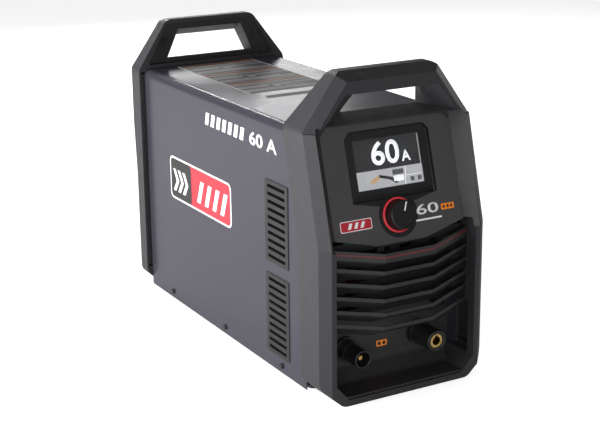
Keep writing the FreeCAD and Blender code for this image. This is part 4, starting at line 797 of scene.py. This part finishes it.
# %% Marks on the sides
for side, place, middle, start in (("left", left_side, -78, -52), ("right", right_side, 78, -190)):
    plate(side + "_badge", bar(middle - 108, middle + 108, 184, 254), ink_white, place, round_by=10)
    plate(side + "_badge_field", bar(middle - 105, middle + 105, 187, 251), ink_red, place, INK, 2 * INK,
          round_by=8, slot="accent")
    plate(side + "_badge_end", bar(middle - 105, middle - 30, 187, 251), ink_black_and_shade, place, 2 * INK, 3 * INK,
          round_by=8, slot="panel")
    for i in range(4):
        x = middle - 10 + 27 * i
        plate("%s_badge_bar_%d" % (side, i), bar(x, x + 12, 198, 234, 14), ink_white, place, 2 * INK, 3 * INK)
    for i in range(3):
        x = middle - 96 + 17 * i
        chevron = [(x, 234), (x + 9, 234), (x + 21, 216), (x + 9, 198), (x, 198), (x + 12, 216)]
        plate("%s_badge_chevron_%d" % (side, i), chevron, ink_white, place, 3 * INK, 4 * INK)
    for i in range(7):
        x = start + 19 * i
        plate("%s_stripe_%d" % (side, i), bar(x, x + 11, 330, 349, 5), ink_white, place)
    lettered(side + "_rating", "60 A", 27, (start + 144, 330), ink_white, place, 0.0, INK, 1.55, 0.5)

# %% [markdown]
# ## Painted shade round the grip screws
# The grip plates have a recess round each screw, and the shade in it is painted: a thin black ring
# between two circles, flat on the plate, is enough at this size. Its place comes from the box of the four
# screws.

# %% Painted shade round the grip screws
HEAD_RADIUS = 0.0045
screw_low, screw_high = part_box("handle_screws")
SCREW_X = (screw_high.x - HEAD_RADIUS) * MM
SCREW_Z = (screw_low.z + screw_high.z) / 2


def flat_ring(name, middle, hole, outer, material, place, **ride_on):
    """A thin ring, bridged between two circles, in millimetres."""
    shape = bmesh.new()
    for radius in (outer, hole):
        bmesh.ops.create_circle(shape, radius=radius / MM, segments=48)
    bmesh.ops.translate(shape, vec=(middle / MM, 0, 0), verts=shape.verts)
    bmesh.ops.bridge_loops(shape, edges=shape.edges[:])
    raised(shape, list(shape.faces), 0.0, INK)
    return finish_piece(shape, name, material, place, **ride_on)


rear_grip_face = lay_on((0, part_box("rear_handle_plate")[0].y, SCREW_Z), (1, 0, 0), (0, 0, 1))
front_grip_face = lay_on((0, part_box("front_handle_plate")[1].y, SCREW_Z), (-1, 0, 0), (0, 0, 1))
for end, place in (("rear", rear_grip_face), ("front", front_grip_face)):
    for hand, x in (("left", -SCREW_X), ("right", SCREW_X)):
        # Each black ring is painted shade, for the shade in the recess round a screw.
        flat_ring("%s_grip_shade_ring_%s" % (end, hand), x, 4.7, 7.0, ink_black_and_shade, place, slot="screw_black")
print("grip screws at", round(SCREW_X, 1), "mm from the middle")

# %% [markdown]
# ## Plain label on the roof
# The roof carries a sheet of small print. It is made of plain rows: coloured heads, light and dark lines
# and a box with a light spot in each group. A loop lays the three groups at an even step.

# %% Plain label on the roof
plate("roof_label", bar(-70, 70, 8, 268), ink_grey, roof, round_by=2, slot="panel")
label_red = ink("label_red_lines", (0.22, 0.060, 0.018), 0.5, 0.42, 0.1)
label_grey = ink("label_light_grey", (0.30, 0.29, 0.29), 0.5, 0.42, 0.1)
label_dark = ink("label_dark_lines", (0.045, 0.043, 0.042), 0.5, 0.42, 0.1)
for hand, x in (("left", -69.5), ("right", 68.7)):
    plate("roof_label_edge_" + hand, bar(x, x + 0.8, 9, 267), ink_white, roof, INK, 2 * INK)
for row in range(3):
    y = 252 - 86 * row
    plate("roof_label_head_%d" % row, bar(-67, 67, y, y + 10), label_red, roof, INK, 2 * INK, slot="accent")
    for i in range(8):
        y_line = y - 8 - 8.6 * i
        x_high = (67, 41, 67, 12)[i % 4]
        line_ink = label_dark if i % 3 == 1 else label_grey
        plate("roof_label_line_%d_%d" % (row, i), bar(-67, x_high, y_line, y_line + 4.6), line_ink, roof,
              INK, 2 * INK)
    plate("roof_label_box_%d" % row, bar(-16, 10, y - 46, y - 24), label_dark, roof, 2 * INK, 3 * INK,
          round_by=2)
    plate("roof_label_spot_%d" % row, bar(-10, 4, y - 40, y - 30), label_grey, roof, 3 * INK, 4 * INK)
plate("roof_strip", bar(-62, 62, -34, -16, 4), label_dark, roof, round_by=2, slot="panel")

# %% [markdown]
# ## Rocker marks
# The rocker has a bar for on and a ring for off. They sit on its two faces and ride the rocker's own
# body, so they tilt with it.

# %% Rocker marks
PIVOT = Vector((-0.062, 0.2965, 0.15))


def rocker_face(length, start, end):
    """Placement on the rocker face that runs between two (out, up) points from the pivot, in millimetres."""
    a, b = Vector((0, *start)) / MM, Vector((0, *end)) / MM
    upward = (b - a).normalized()
    return lay_on(PIVOT + a + (b - a) * length, (-1, 0, 0), upward)


upper_face = rocker_face(0.55, (5.4, 0), (9.0, 14.6))
lower_face = rocker_face(0.45, (4.2, -14.6), (5.4, 0))
plate("rocker_on_mark", bar(-0.7, 0.7, -3, 3), ink_white, lower_face, body="rear_switch")
flat_ring("rocker_off_mark", 0, 2.2, 3.0, ink_white, upper_face, body="rear_switch", slot="white_mark")
print("rocker pivot", tuple(round(v, 4) for v in PIVOT))
